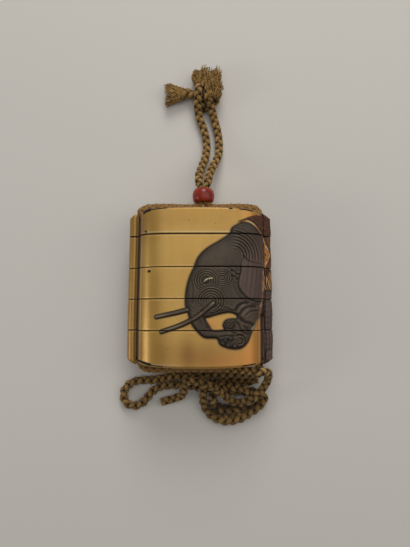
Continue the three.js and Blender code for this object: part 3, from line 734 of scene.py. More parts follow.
# outlines and folds of the elephant, seen from the front, x to the right and y towards the lid
elephant = {
    "head": smoothLine([
        (31, 29.4), (26.6, 29.6), (23.6, 29.4), (20.6, 28), (18.1, 26.9), (13.7, 24.5), (12.3, 21.8), (8.2, 18.9),
        (3.2, 15.9), (-0.3, 12.4), (-2.3, 7.9), (-4.2, 3.5), (-5.4, -1.5), (-5.7, -6.9), (-4.7, -10.3),
        (-3.2, -14.8), (-0.7, -18.2), (2.2, -20.5), (7.1, -20.9), (8.6, -23.5), (13, -25), (17, -24.7),
        (19.6, -22.4), (21, -19.1), (22.3, -16.7), (24.1, -13), (25.8, -11), (31, -10.4)], 5, True),
    "window": smoothLine([
        (2.3, -12.8), (4, -12.2), (7.2, -11.2), (12, -10.3), (15, -11.3), (15.2, -12.9), (13.2, -13), (10.8, -13.6),
        (9.7, -15.4), (10, -17.4), (5.6, -17.8), (3.8, -15.8)], 5, True),
    "ear": smoothLine([
        (31, 24), (24.6, 23), (21.6, 17.6), (18.6, 13), (17.1, 9.6), (16.9, 6.2), (16.2, 3.7), (15.9, 1.2),
        (16.5, -0.8), (17.9, -2.8), (19.7, -4.5), (22.8, -5.6), (25, -5.6), (31, -5)], 5, True),
    "trunk": smoothLine([
        (1.2, -5), (-1.6, -9), (-2.4, -12.6), (-1.4, -16), (1.2, -18.5), (4.8, -19.3), (8.4, -19.2), (11.6, -18.9)], 6),
    "curl": (12.0, -15.6, 2.25),
    "nearTusk": smoothLine([(5.7, -6.6), (3.1, -8.9), (0.3, -11.3), (-2.6, -13.1), (-7.8, -15.6), (-15.4, -18.2)], 6),
    "farTusk": smoothLine([(-4.2, -9.1), (-9.9, -10.6), (-17.6, -12.2)], 6),
    "eye": (2.8, 2.6), "eyeGlint": smoothLine([(1.9, 2.2), (2.7, 2.9), (3.9, 3.4), (5.2, 3.6)], 5),
    "swirl": (9.2, 3.7), "tuskRoot": (4.7, -5.7), "brow": (13.9, 12.3),
    "creases": [                           # each a line, its width and its depth
        ([(12.4, 8.2), (13.5, 5.6), (13.8, 1.6), (15, -2), (17.2, -4.8), (20.4, -6.6), (24, -7.2)], 0.5, 0.45),
        ([(14.8, 8.6), (15.2, 5.4), (14.8, 2.2), (15.6, -0.8), (17, -3.2)], 0.4, 0.35),
        ([(12.9, 6.6), (14.2, 6.3), (14.9, 5.2), (16.2, 5.1)], 0.35, 0.9),
        ([(13, 4.4), (14.4, 4.2), (15, 3.1), (16, 3.2)], 0.35, 0.9),
        ([(17.9, 12.6), (19.4, 11), (21.4, 10.2), (24.4, 9.8)], 0.4, 0.8),
        ([(-3.2, 2.6), (-2.6, -2), (-3, -6.4)], 0.45, 0.5),
        ([(14.6, -9.6), (15.6, -7.9), (17.6, -6.7), (19.4, -6.6)], 0.6, 1.0),
        ([(16.3, -10.9), (17.8, -9.1), (19.8, -7.9), (22.4, -7.9)], 0.6, 1.0),
        ([(18.6, -11.6), (20.4, -10), (23.2, -9.6)], 0.4, 0.7),
        ([(15.8, -11.6), (16.8, -13.2), (18.6, -14.4), (20.8, -15), (22.4, -17)], 0.6, 1.0),
        ([(14.6, -14), (16, -15.6), (17, -18), (19.4, -19.4)], 0.45, 0.9),
        ([(17.6, -15.8), (19, -17.2), (20.2, -19.6)], 0.4, 0.7),
        ([(13.2, -18.4), (15, -19.2), (17.6, -19.6)], 0.4, 0.9),
        ([(8.4, -20.2), (12, -19.8), (15.4, -20)], 0.4, 0.9),
        ([(1, -9.6), (1.4, -12), (2.4, -14.6), (3.6, -16.8)], 0.45, 0.8),
        ([(4.4, -11), (7.4, -9.8), (11.4, -9.2), (13.6, -9.6)], 0.45, 0.7),
        ([(7.8, -6.8), (9.4, -8.2), (12, -8.6)], 0.35, 0.6)],
    "bulges": [                            # each x, y, radius and rise
        (5.2, -5.4, 5.6, 0.3), (3.6, 2.8, 4.8, 0.22), (6, 12, 8.5, 0.3), (9.4, 3.8, 4, 0.16), (17.8, -10, 3, 0.3),
        (20, -13, 3.4, 0.3), (14.6, -22, 4.6, 0.3), (16.6, -17.2, 2.4, 0.26), (-2.6, -2, 4.5, 0.2)],
    "toes": [(10.4, -21.6), (12.6, -21.0), (11.6, -23.9), (14.3, -24), (9.4, -23)],
    "nail": (16.2, -21.9),
    "sash": smoothLine([(25.6, 8.1), (25.4, 1), (25.2, -4.4), (24.8, -7.7), (24.2, -11.4), (22.9, -15.1),
                        (21.4, -17.3)]),
    "chips": [(-22.5, 23.1, 0.95), (-20.7, 6.6, 0.9), (-4.4, 27.4, 0.16), (-12.8, -25.2, 0.18), (6.6, 26.2, 0.2)],
    "marks": [                             # dark nicks along the ends: a line and its width
        ([(-23.6, 31.6), (-22.4, 31.9), (-20.6, 32.2)], 0.72), ([(-20.6, 32.1), (-17, 32.3), (-13.6, 32.3)], 0.26),
        ([(12.4, 32.1), (13.4, 32.1)], 0.3), ([(16.6, 32.1), (19.4, 32.0), (22, 31.8)], 0.26),
        ([(-25.2, -31.2), (-22.4, -31.4), (-20.2, -31.8)], 0.6), ([(-20.4, -31.8), (-15, -32.2)], 0.2),
        ([(17.5, -32.1), (23, -31.8)], 0.24)],
    "aged": [                              # browner places in the gold, painted darker reflections and shade: x, y, how far each way, how strong
        (-1, -27, 16, 6, 0.5), (-24.4, -27, 2.5, 8, 0.3), (-15, -26, 2.6, 8, 0.25), (-5, -27, 3, 8, 0.3),
        (8, -30, 12, 2.5, 0.3),
        (-25, 26, 3, 9, 0.5), (-10, 28, 14, 3, 0.15), (-4, -15, 5, 4, 0.2), (3, -16, 4, 2, 0.3)],
    # rosier places in the gold, painted warm reflections and highlights: x, y, how far each way, how strong
    "blush": [(21.5, -27, 5, 8, 0.6), (24.6, -16, 1.5, 6, 0.6), (5, -15, 4, 2.5, 0.4), (12, -30, 9, 3, 0.3),
              (22, 30, 4, 1.8, 0.5)],
    "base": 0.8, "edge": 1.5,              # the height of its ground above the gold, and its edge's width
}
backElephant = {
    "body": smoothLine([
        (31, 27), (22, 25.4), (10, 23), (-2, 20.6), (-10, 15), (-13.6, 6), (-13, -4), (-10.4, -12), (-9.6, -22),
        (-9, -27.4), (-1.6, -27.8), (0.6, -20), (4, -13.4), (12, -12), (17, -16), (18.4, -26.6), (24, -28.4),
        (31, -28.4)], 5, True),
    "tail": smoothLine([(-12, 10), (-17.4, 4), (-18.4, -5), (-17, -13)], 6),
    "folds": [([(-4, 16), (-7, 8), (-6.6, -2), (-9, -10)], 0.6),
              ([(2, 14), (-1.4, 4), (-1, -8), (-3.4, -16)], 0.6),
              ([(10, 16), (8, 6), (9.6, -4), (14, -10)], 0.6),
              ([(18, 20), (17, 8), (20, -4), (19, -16)], 0.6)],
    "height": 0.5,
}


def ringFolds(x, y, centre, inner, outer, period, squash, gap):    # gap: an open side's angle and half width
    away = np.hypot(x - centre[0], (y - centre[1]) * squash)
    window = band(inner - 0.3, inner + 0.2, outer - 0.9, outer, away)
    turn = np.degrees(np.arctan2(y - centre[1], x - centre[0])) - gap[0]
    window = window * ramp(gap[1] - 8, gap[1] + 14, np.abs((turn + 180) % 360 - 180))
    return window, np.cos(2 * math.pi * (away - inner) / period)


def frontRelief(x, y):                 # heights in millimetres and the masks of each finish, on the front
    e = elephant
    head = insideDistance(x, y, e["head"])
    window = insideDistance(x, y, e["window"])
    head = np.minimum(head, -window)
    tone = masks(x.shape, "hollow", "glow", "chip", "crest", "aged", "blush")
    rounded = np.clip(head / e["edge"], 0, 1)
    height = e["base"] * dome(1 - rounded, 1) + 0.2 * ramp(1, 7, head)
    inner = ramp(0.2, 0.8, head)
    tone["dark"] = ramp(-0.12, 0.06, head)
    waves, ridges = np.zeros(x.shape), np.zeros(x.shape)

    def addFolds(part, wave, depth):
        nonlocal height, waves, ridges
        shaped = np.sign(wave) * np.abs(wave) ** 0.8
        height = height + inner * part * shaped * depth
        waves = np.maximum(waves, part * inner * ramp(0.1, 0.95, -wave))
        ridges = np.maximum(ridges, part * inner * ramp(0.3, 0.95, wave))

    ear = insideDistance(x, y, e["ear"])
    lowEar = fall(7, 12, y)            # its edge melts into the neck towards the top
    offEar = 1 - ramp(-0.5, 0.1, ear) * lowEar
    for centre, first, last, period, squash, gap, depth in (
            (e["eye"], 1.4, 5.6, 1.0, 1.1, (-62, 34), 0.15), (e["swirl"], 0.6, 5.2, 1.0, 1.2, (200, 30), 0.14),
            (e["tuskRoot"], 1.5, 6.6, 1.05, 1.05, (-128, 44), 0.17)):
        part, wave = ringFolds(x, y, centre, first, last, period, squash, gap)
        if centre is e["swirl"]:
            part = part * ramp(5.4, 6.2, np.hypot(x - e["eye"][0], (y - e["eye"][1]) * 1.1))
        if centre is not e["tuskRoot"]:
            part = part * ramp(6.2, 7.0, np.hypot(x - e["tuskRoot"][0], (y - e["tuskRoot"][1]) * 1.05))
        addFolds(part * offEar, wave, depth)
    # the brow's arcs turn into upright lines where they run down beside the ear
    cx, cy = e["brow"]
    above = np.maximum(y - cy, 0)
    away = np.where(x > cx - 1, np.hypot(np.maximum(x - cx, 0), above * 0.92), 1e3)
    part = band(2.6, 3.6, 10.2, 11.6, away) * ramp(cx - 1, cx + 2, x)
    part = part * ramp(10, 12.4, y + 0.1 * (x - 20))
    addFolds(part, np.cos(2 * math.pi * away / 1.15), 0.15)
    # the trunk's rings run across it
    away, along = lineDistance(x, y, e["trunk"])
    onTrunk = fall(1.9, 2.5, away) * ramp(2.5, 5, along)
    height = height + inner * 0.3 * onTrunk * dome(away, 2.6)
    addFolds(0.35 * onTrunk, np.cos(2 * math.pi * (along + 0.25 * away) / 1.15), 0.11)
    # painted shade along the trunk's sides and painted highlight down its middle
    tone["hollow"] += 0.7 * inner * bell(away - 2.5, 0.35) * ramp(4, 6, along)
    tone["crest"] += 0.35 * inner * bell(away - 0.4, 0.7) * ramp(4, 6, along)
    # each bulge rises and takes a painted highlight
    for bx, by, radius, rise in e["bulges"]:
        swell = np.clip(1 - ((x - bx) ** 2 + (y - by) ** 2) / radius ** 2, 0, 1)
        height = height + inner * rise * swell
        tone["crest"] += 0.9 * rise * inner * swell
    # painted shade in each crease and a painted highlight along each side of it
    for line, width, depth in e["creases"]:
        away, _ = lineDistance(x, y, smoothLine(line))
        cut = bell(away, width) * inner * depth * offEar
        height = height - 0.26 * cut + 0.1 * depth * inner * offEar * bell(away - 2 * width, width)
        shade = 0.95 * bell(away, 0.7 * width) * inner * depth * offEar
        deepen(tone, "hollow", shade)
        tone["crest"] += 0.3 * depth * inner * offEar * bell(away - 2 * width, 0.7 * width)
    # the smooth ear lies over the neck
    onEar = ramp(-0.05, 0.35, ear) * inner
    earRise = 0.42 * lowEar * dome(1 - np.clip(ear / 0.9, 0, 1), 1)
    earRise = earRise - 0.05 * np.cos(2 * math.pi * (x - 0.12 * y) / 2.1) * ramp(1, 2, ear)
    height = height + inner * earRise
    tone["plum"] = onEar * (0.9 - 0.5 * ramp(9, 20, y)) + 0.2 * inner * ramp(12, 20, x)
    # painted shadow on the neck under the ear's edge, and a painted highlight on its rim
    tone["hollow"] += 0.95 * inner * lowEar * bell(ear + 0.3, 0.32)
    tone["hollow"] += 0.22 * onEar * ramp(0.4, 1, np.cos(2 * math.pi * (x - 0.1 * y) / 1.7))
    tone["crest"] += 0.5 * inner * lowEar * bell(ear - 0.5, 0.35) * fall(22, 24, x)
    # eye, with painted shade in the ring round the eyeball
    ex, ey = e["eye"]
    ball = np.hypot(x - ex + 0.1, y - ey)
    height = height + 0.34 * dome(ball, 0.95) - 0.16 * bell(ball - 1.2, 0.25)
    deepen(tone, "hollow", 0.9 * bell(ball - 1.15, 0.25) * inner)
    glint, along = lineDistance(x, y, e["eyeGlint"])
    height = height + 0.14 * bell(glint, 0.35)
    deepen(tone, "glow", (0.7 + 0.3 * ramp(1.5, 2.6, along)) * bell(glint, 0.26, 4))
    # the trunk's curled tip, darker overall, with painted shade in its spiral groove and round its edge and painted
    # highlight on the spiral's ridge
    cx, cy, radius = e["curl"]
    away = np.hypot(x - cx, y - cy)
    turn = np.arctan2(y - cy, x - cx)
    ball = np.clip(1 - (away / radius) ** 2, 0, 1)
    height = np.where(away < radius, np.maximum(height, 0.55 + 0.6 * np.sqrt(ball)), height)
    spiral = np.cos(2 * math.pi * (away / 1.25) - turn)
    height = height + 0.13 * spiral * (ball > 0) * ramp(0, 0.4, ball)
    deepen(tone, "dark", fall(radius, radius + 0.15, away))
    deepen(tone, "hollow", 0.8 * ramp(0.1, 0.95, -spiral) * (ball > 0))
    deepen(tone, "hollow", 0.9 * bell(away - radius, 0.3))
    deepen(tone, "hollow", 0.35 * (ball > 0))
    tone["crest"] += 0.3 * ramp(0.3, 1, spiral) * (ball > 0.15)
    # toes and the ringed nail of the forefoot; each toe has painted shade round it and a painted highlight on top
    for tx, ty in e["toes"]:
        away = np.hypot(x - tx, y - ty)
        height = height + 0.34 * dome(away, 0.85) * inner
        deepen(tone, "hollow", bell(away - 1, 0.3) * inner)
        tone["crest"] += 0.8 * bell(away, 0.45)
    part, wave = ringFolds(x, y, e["nail"], 0.5, 3.6, 1.15, 0.9, (180, 50))
    addFolds(part, wave, 0.18)
    # painted shade in the folds' troughs and painted highlight on their ridges
    deepen(tone, "hollow", 0.85 * waves)
    tone["crest"] += 0.75 * ridges
    # a thin gilt line runs down between the beast and the rib, with painted glints along it and a painted highlight at
    # its lower end
    away, along = lineDistance(x, y, e["sash"])
    sash = bell(away + 0.12 * np.sin(1.9 * along), 0.3) * ramp(0, 2, along)
    tone["gilt"] = 0.65 * sash
    tone["glow"] += 0.3 * sash * ramp(-0.5, 0.8, np.sin(0.9 * along + 1))
    tone["glow"] += 0.6 * bell(away, 0.55) * ramp(21, 24, along) * fall(26, 28, along)
    tone["hollow"] *= 1 - 0.8 * bell(away, 0.35)
    # painted shade between the gilt line and the groove, low down
    beside = ramp(24.9, 25.3, x) * fall(-3, 0, y) * ramp(-20, -14, y)
    deepen(tone, "hollow", 0.6 * beside)
    # painted shade: the outline is a soft dark line with a dark halo on the gold just outside it, and the relief grows
    # darker low down
    deepen(tone, "hollow", 0.9 * bell(head - 0.12, 0.45))
    deepen(tone, "hollow", 0.42 * fall(0.3, 2.4, head) * (head > 0))
    deepen(tone, "hollow", inner * 0.3 * fall(-18, -9, y))
    deepen(tone, "dark", 0.7 * bell(np.minimum(head + 0.1, 0), 0.5))
    # tusks, the near one over everything, with painted shade round and along their edges and a painted highlight down
    # their middle, brighter near their ends
    for line, rootRadius, tipRadius, rise in ((e["farTusk"], 0.95, 0.8, 0.7), (e["nearTusk"], 1.02, 0.8, 1.05)):
        away, along = lineDistance(x, y, line)
        end = sum(math.dist(a, b) for a, b in zip(line[:-1], line[1:]))
        radius = rootRadius + (tipRadius - rootRadius) * along / end
        shape = np.clip(1 - (away / radius) ** 2, 0, 1)
        if line is e["farTusk"]:       # the far one comes out from behind the head
            outside = fall(0.2, 0.9, head)
            shape, away = shape * outside, np.where(outside > 0.5, away, 9.0)
        on = fall(radius - 0.1, radius + 0.1, away)
        ground = np.maximum(height, 0) * (0.6 if rise > 1 else 0.2)
        height = np.where(shape > 0, np.maximum(height * 0.4, ground + rise * np.sqrt(shape)), height)
        deepen(tone, "dark", fall(radius, radius + 0.35, away))
        for name in ("hollow", "glow", "plum", "crest", "gilt"):
            tone[name] = tone[name] * (1 - on)
        deepen(tone, "hollow", 0.85 * bell(away - radius, 0.26))
        deepen(tone, "hollow", 0.5 * on * ramp(0.4, 1.0, away / radius))
        ends = ramp(0.5, 0.85, along / end) + 1.3 * fall(0, 0.1, along / end)
        tone["crest"] += on * bell(away - 0.1, 0.5 * radius) * (0.5 + 0.4 * ends)
        tone["glow"] += 0.12 * on * bell(away - 0.1, 0.3 * radius) * ends
    for line, width in e["marks"]:
        away, _ = lineDistance(x, y, line)
        deepen(tone, "chip", fall(width * 0.6, width * 1.2, away))
        deepen(tone, "hollow", tone["chip"])
    for name in ("aged", "blush"):
        for cx, cy, wide, high, strength in e[name]:
            tone[name] += strength * spot(x, y, cx, cy, wide, high)
    for cx, cy, radius in e["chips"]:
        away = np.hypot(x - cx, (y - cy) * 1.3) + 0.12 * np.sin(5 * np.arctan2(y - cy, x - cx))
        bare = fall(radius * 0.6, radius, away)
        deepen(tone, "chip", bare)
        deepen(tone, "hollow", 0.6 * bare)
        height = height - 0.05 * (away < radius)
    return height, tone


def roughWeave(x, y, size):            # an uneven small lump pattern, the same every time
    u, v = x / size, y / size
    coarse = np.sin(u * 2.1 + 1.7 * np.sin(v * 0.9)) * np.sin(v * 2.3 + 1.3 * np.sin(u * 1.1))
    return coarse + 0.5 * np.sin(u * 4.7 + v * 3.1) * np.sin(v * 5.3 - u * 2.2)


def ribRelief(across, y):              # on the right rib: across runs from its front groove to its back one
    tone = masks(y.shape, "hollow", "glow", "plum", "gilt", "crest")
    inside = band(0.0, 0.3, 8.6, 9.2, across)
    weave = roughWeave(across, y, 0.55)
    # a rough red saddle cloth at the top, and its lining behind the brocade
    cloth = ramp(21.8, 22.4, y + 0.5 * np.sin(across * 1.6))
    tone["cloth"] = ramp(-1.2, -0.6, y)
    height = 0.25 + cloth * 0.16 * weave + 0.12 * np.sin(y * 0.55 + 1)
    # painted shade between the weave's lumps and painted highlight on them
    tone["hollow"] += cloth * 0.8 * ramp(0.0, 1.1, -weave)
    tone["crest"] += cloth * 0.5 * ramp(0.4, 1.3, weave)
    # a gilt brocade band hangs below it, with a gilt bent edge that carries painted glints, and painted shade in its
    # weave
    edge = 0.5 + 2.8 * np.clip(1 - np.abs((y - 14.2) / 6.2), 0, 1) + 0.5 * np.maximum(9.4 - y, 0)
    brocade = ramp(7.4, 8.0, y) * (1 - cloth)
    onBand = brocade * fall(edge - 0.1, edge + 0.2, across)
    line = brocade * bell(across - edge, 0.3)
    second = bell(across - 0.5 * edge - 0.3, 0.2) + bell(across - edge - 2.2, 0.25)
    tone["gilt"] += onBand * np.clip(0.45 + 0.35 * roughWeave(y, across, 0.8), 0, 1) + line + 0.5 * brocade * second
    tone["glow"] += 0.75 * line * ramp(-0.6, 0.6, np.sin(y * 1.9 + 0.6))
    tone["hollow"] += 0.5 * brocade * ramp(0.2, 1.1, -weave) * (1 - line)
    height = height + 0.14 * onBand + 0.1 * line + 0.05 * brocade * weave
    # tassels of gilt upright threads, with painted glints on them and painted shade between them
    tassel = band(-1.0, -0.4, 7.4, 8.0, y)
    threads = np.cos(2 * math.pi * (across + 0.25 * np.sin(y * 1.1) + 0.1 * y) / 0.95)
    low = tassel * fall(4.6, 6.6, y + 1.2 * np.sin(across * 1.3))
    tone["gilt"] += 0.55 * low * ramp(-0.4, 0.5, threads)
    tone["glow"] += low * 0.85 * ramp(0.3, 0.9, threads) * ramp(-0.6, 0.5, np.sin(y * 1.1 + across * 2.3))
    tone["hollow"] += tassel * 0.8 * ramp(0.1, 0.9, -threads)
    height = height + tassel * 0.14 * threads
    # the leg, with folds down its front side and a nail at the bottom, painted shade in the folds and round the nail
    # and painted highlight on their ridges
    leg = fall(-1.6, -1.0, y)
    folds = np.cos(2 * math.pi * (across + 0.3 * np.sin(y * 0.35)) / 1.3)
    foldWindow = leg * fall(3.0, 4.6, across) * (1 - 0.6 * ramp(-16, -10, y))
    tone["plum"] += leg * 0.8
    height = height + 0.08 * folds * foldWindow
    tone["hollow"] += 0.55 * foldWindow * ramp(0.2, 0.95, -folds)
    tone["crest"] += 0.3 * foldWindow * ramp(0.4, 1, folds)
    rings = np.cos(2 * math.pi * y / 2.3 + 0.8 * np.sin(across))
    height = height + 0.04 * leg * rings
    nail = np.hypot((across - 2.6) * 0.9, (y + 28.2) * 0.75)
    height = height + leg * 0.22 * dome(nail, 1.7)
    tone["hollow"] += leg * 0.45 * bell(nail - 1.85, 0.35)
    tone["crest"] += leg * 0.5 * bell(nail - 0.9, 0.4)
    for line in (-1.3, 7.7, 22.1):     # a dark line where each stretch ends
        tone["hollow"] += 0.7 * bell(y - line, 0.3)
    tone["dark"] = np.ones(y.shape)
    return height * inside, {name: value * inside if name not in ("dark", "cloth") else value
                             for name, value in tone.items()}


def backRelief(x, y):                  # a plainer body, hind leg and tail, worn flat where the case lies
    b = backElephant
    body = insideDistance(x, y, b["body"])
    tone = masks(x.shape, "hollow")
    height = b["height"] * dome(1 - np.clip(body / 1.2, 0, 1), 1)
    inner = ramp(0.3, 1.0, body)
    tone["dark"] = ramp(-0.12, 0.06, body)
    for line, width in b["folds"]:
        away, _ = lineDistance(x, y, smoothLine(line))
        # painted shade in each fold's grooves
        for step in (0.0, 1.3, 2.6):
            cut = bell(away - step, 0.5 * width) * inner * (1 - step / 4)
            height = height - 0.12 * cut
            deepen(tone, "hollow", 0.6 * cut)
    away, along = lineDistance(x, y, b["tail"])
    tail = np.clip(1 - (away / (1.0 - 0.012 * along)) ** 2, 0, 1)
    height = np.maximum(height, 0.5 * np.sqrt(tail))
    deepen(tone, "dark", ramp(0, 0.08, tail))
    # painted shade round the tail
    deepen(tone, "hollow", 0.7 * bell(away - 1.0, 0.2))
    tone["plum"] = 0.3 * inner
    return height, tone


def saddleCorner(x, y, height, tone):  # the cloth's corner and its gilt band, where the front turns to the rib
    trim = smoothLine([(16.9, 26.7), (19, 27.3), (21.2, 26.5), (23.2, 24.9), (24.6, 23.1), (26.2, 20.6)])
    away, along = lineDistance(x, y, trim)
    edge = [*trim, (28, 33), (25.6, 31.4), (23.6, 30.7), (20.9, 29.4), (18, 28.2), (16.8, 27.3)]
    cloth = ramp(-0.1, 0.25, insideDistance(x, y, edge))
    weave = roughWeave(x, y, 0.55)
    tone["cloth"] = np.maximum(tone.get("cloth", 0 * x), cloth)
    deepen(tone, "dark", cloth)
    height = height * (1 - cloth) + cloth * (0.8 + 0.12 * weave)
    # painted shade between the weave's lumps
    tone["hollow"] = tone["hollow"] * (1 - cloth) + cloth * 0.7 * ramp(0.1, 1.2, -weave)
    gilt = bell(away, 0.42, 4) * ramp(0, 1, along) * (1 - 0.6 * ramp(5, 9, along))
    tone["gilt"] = np.maximum(tone.get("gilt", 0 * x), gilt)
    bright = band(1, 2.5, 4.5, 7.5, along)
    tone["glow"] += 0.75 * bell(away - 0.05, 0.22) * bright
    tone["hollow"] = np.maximum(tone["hollow"] * (1 - gilt), 0.85 * bell(away - 0.75, 0.25))
    return height + 0.2 * gilt, tone


def panelPoints(inset, s):             # the flat front, falling away to its edges; s runs from -1 to 1 across
    c = caseShape
    x = (c["edge"] - inset) * s
    fall = 1 - (np.abs(x) / (c["fullHalfWidth"] - inset)) ** c["power"]
    return x, (c["halfThickness"] - inset) * fall ** (1 / c["root"])


def evenSteps(x, z, spacings):         # places along a line so that its steps have the given lengths
    along = np.concatenate([[0], np.cumsum(np.hypot(np.diff(x), np.diff(z)))])
    weight = np.concatenate([[0], np.cumsum(np.diff(along) / ((spacings[1:] + spacings[:-1]) / 2))])
    count = int(math.ceil(weight[-1]))
    return np.interp(np.linspace(0, weight[-1], count + 1), weight, np.arange(len(x)))


def sectionPlan():                     # how the points of one ring round the case are laid out
    c = caseShape
    s = np.sin(np.linspace(math.pi / 2, -math.pi / 2, 4001))
    x, z = panelPoints(0.0, s)
    front = evenSteps(x, z, np.where(x > -20.5, c["fine"], c["plain"]))
    front = np.interp(front, np.arange(len(s)), s)
    back = evenSteps(x, z, np.full(len(x), c["plain"]))
    back = -np.interp(back, np.arange(len(s)), s)
    sweep = math.pi - math.asin(c["grooveFloor"] / c["ribHalfThickness"])
    turns = np.linspace(sweep, -sweep, 2001)
    rx, rz = c["ribHalfWidth"] * np.cos(turns), c["ribHalfThickness"] * np.sin(turns)
    left = np.interp(evenSteps(rx, rz, np.full(2001, c["plain"])), np.arange(2001), turns)
    right = np.interp(evenSteps(rx, rz, np.full(2001, c["fine"])), np.arange(2001), turns)
    return front, back, left, right


sectionFront, sectionBack, sectionLeft, sectionRight = sectionPlan()
wallSteps = np.linspace(0, 1, 9)[1:]   # down the panel's edge and across the groove's floor


def sideRun(turns, inset, ribInset, hasRib):   # from the front panel's edge to the back one, on the +X side
    c = caseShape
    edge = c["edge"] - inset
    edgeHeight = panelPoints(inset, np.array([1.0]))[1][0]
    count = 2 * len(wallSteps) + len(turns)
    if not hasRib:
        return np.full(count, edge), edgeHeight * np.linspace(1, -1, count + 2)[1:-1]
    floor = c["grooveFloor"]
    ribX = c["ribCentre"] - 0.7 * ribInset + (c["ribHalfWidth"] - ribInset) * np.cos(turns)
    ribZ = (c["ribHalfThickness"] - ribInset) * np.sin(turns)
    footZ = min(floor, ribZ[0])
    wallX = np.where(wallSteps < 0.75, edge, edge + (ribX[0] - edge) * (wallSteps - 0.75) / 0.36)
    wallZ = np.where(wallSteps < 0.75, edgeHeight + (footZ - edgeHeight) * wallSteps / 0.75, footZ)
    return np.concatenate([wallX, ribX, wallX[::-1]]), np.concatenate([wallZ, ribZ, -wallZ[::-1]])


def rowPlan(bottom, top):              # the rings up one tier: place, panel inset, rib inset, whether the rib is there
    c = caseShape
    depth, reach = c["endRound"]
    marks = set(np.round(np.linspace(bottom, top, int((top - bottom) / c["fine"]) + 1), 4))
    for end, sign in ((bottom, 1), (top, -1)):
        if abs(abs(end) - c["half"]) > 0.01:
            marks.update(round(end + sign * step, 4) for step, _ in c["tierEdge"])
    for sign in (-1, 1):
        marks.update(round(sign * (c["half"] - d), 4) for d in (0.02, 0.06, 0.12, 0.2))
        marks.update(round(sign * (c["ribHalfLength"] - d), 4) for d in (0, -0.02, 0.02, 0.06, 0.12, 0.2))
    rows, last = [], None
    for y in sorted(m for m in marks if bottom <= m <= top):
        if last is not None and y - last < 0.015:
            continue
        last = y
        insets = []
        for end in (c["half"], c["ribHalfLength"]):
            away = min(max(end - abs(y), 0) / depth, 1)
            insets.append(reach * (1 - math.sqrt(max(1 - (1 - away) ** 2, 0))))
        for end in (bottom, top):
            if abs(abs(end) - c["half"]) > 0.01:
                steps, sizes = zip(*c["tierEdge"])
                insets = [v + np.interp(abs(y - end), steps, sizes) for v in insets]
        rows.append((y, insets[0], insets[1], abs(y) <= c["ribHalfLength"] + 1e-6))
    return rows


reliefNames = ("dark", "hollow", "glow", "plum", "chip", "cloth", "gilt", "crest", "groove", "aged", "blush")


def endPlan(x, y, onRib):              # the ends bow outwards in plan, and the ribs' ends rise towards the panels
    c = caseShape
    side, along = np.abs(x), np.abs(y)
    arch, corner = (np.where(y > 0, c[key][1], c[key][0]) for key in ("arch", "cornerDrop"))
    drop = arch * (side / c["edge"]) ** 2 - 0.6 + corner * ramp(22.5, c["edge"], side)
    drop = drop * ramp(27, c["half"], along)
    rise = c["ribRise"] * np.clip((30.4 - side) / 4, 0, 1) * ramp(27, c["ribHalfLength"], along)
    narrow = c["taper"] * ramp(-24, 34, y) * np.where(x < 0, ramp(21, 25.5, side), ramp(26.5, 28.5, side))
    return x - np.sign(x) * narrow, y + np.sign(y) * np.where(onRib, rise, -drop)


def section(inset, ribInset, hasRib, bridge=0.0):    # x and z round one ring of the case
    (fx, fz), (bx, bz) = (panelPoints(inset, run) for run in (sectionFront, sectionBack))
    (lx, lz), (rx, rz) = (sideRun(turns, inset, ribInset, hasRib) for turns in (sectionLeft, sectionRight))
    if hasRib:                         # on the beast's side its relief bridges the front groove
        nw, t = len(wallSteps), wallSteps * 0.97
        rx[:nw] += bridge * (rx[0] + 0.15 + (rx[nw] - rx[0]) * t - rx[:nw])
        rz[:nw] += bridge * (panelPoints(inset, np.array([1.0]))[1][0] * (1 - t) + rz[nw] * t - rz[:nw])
    return np.concatenate([fx, -lx, bx, rx[::-1]]), np.concatenate([fz, lz, -bz, rz[::-1]])


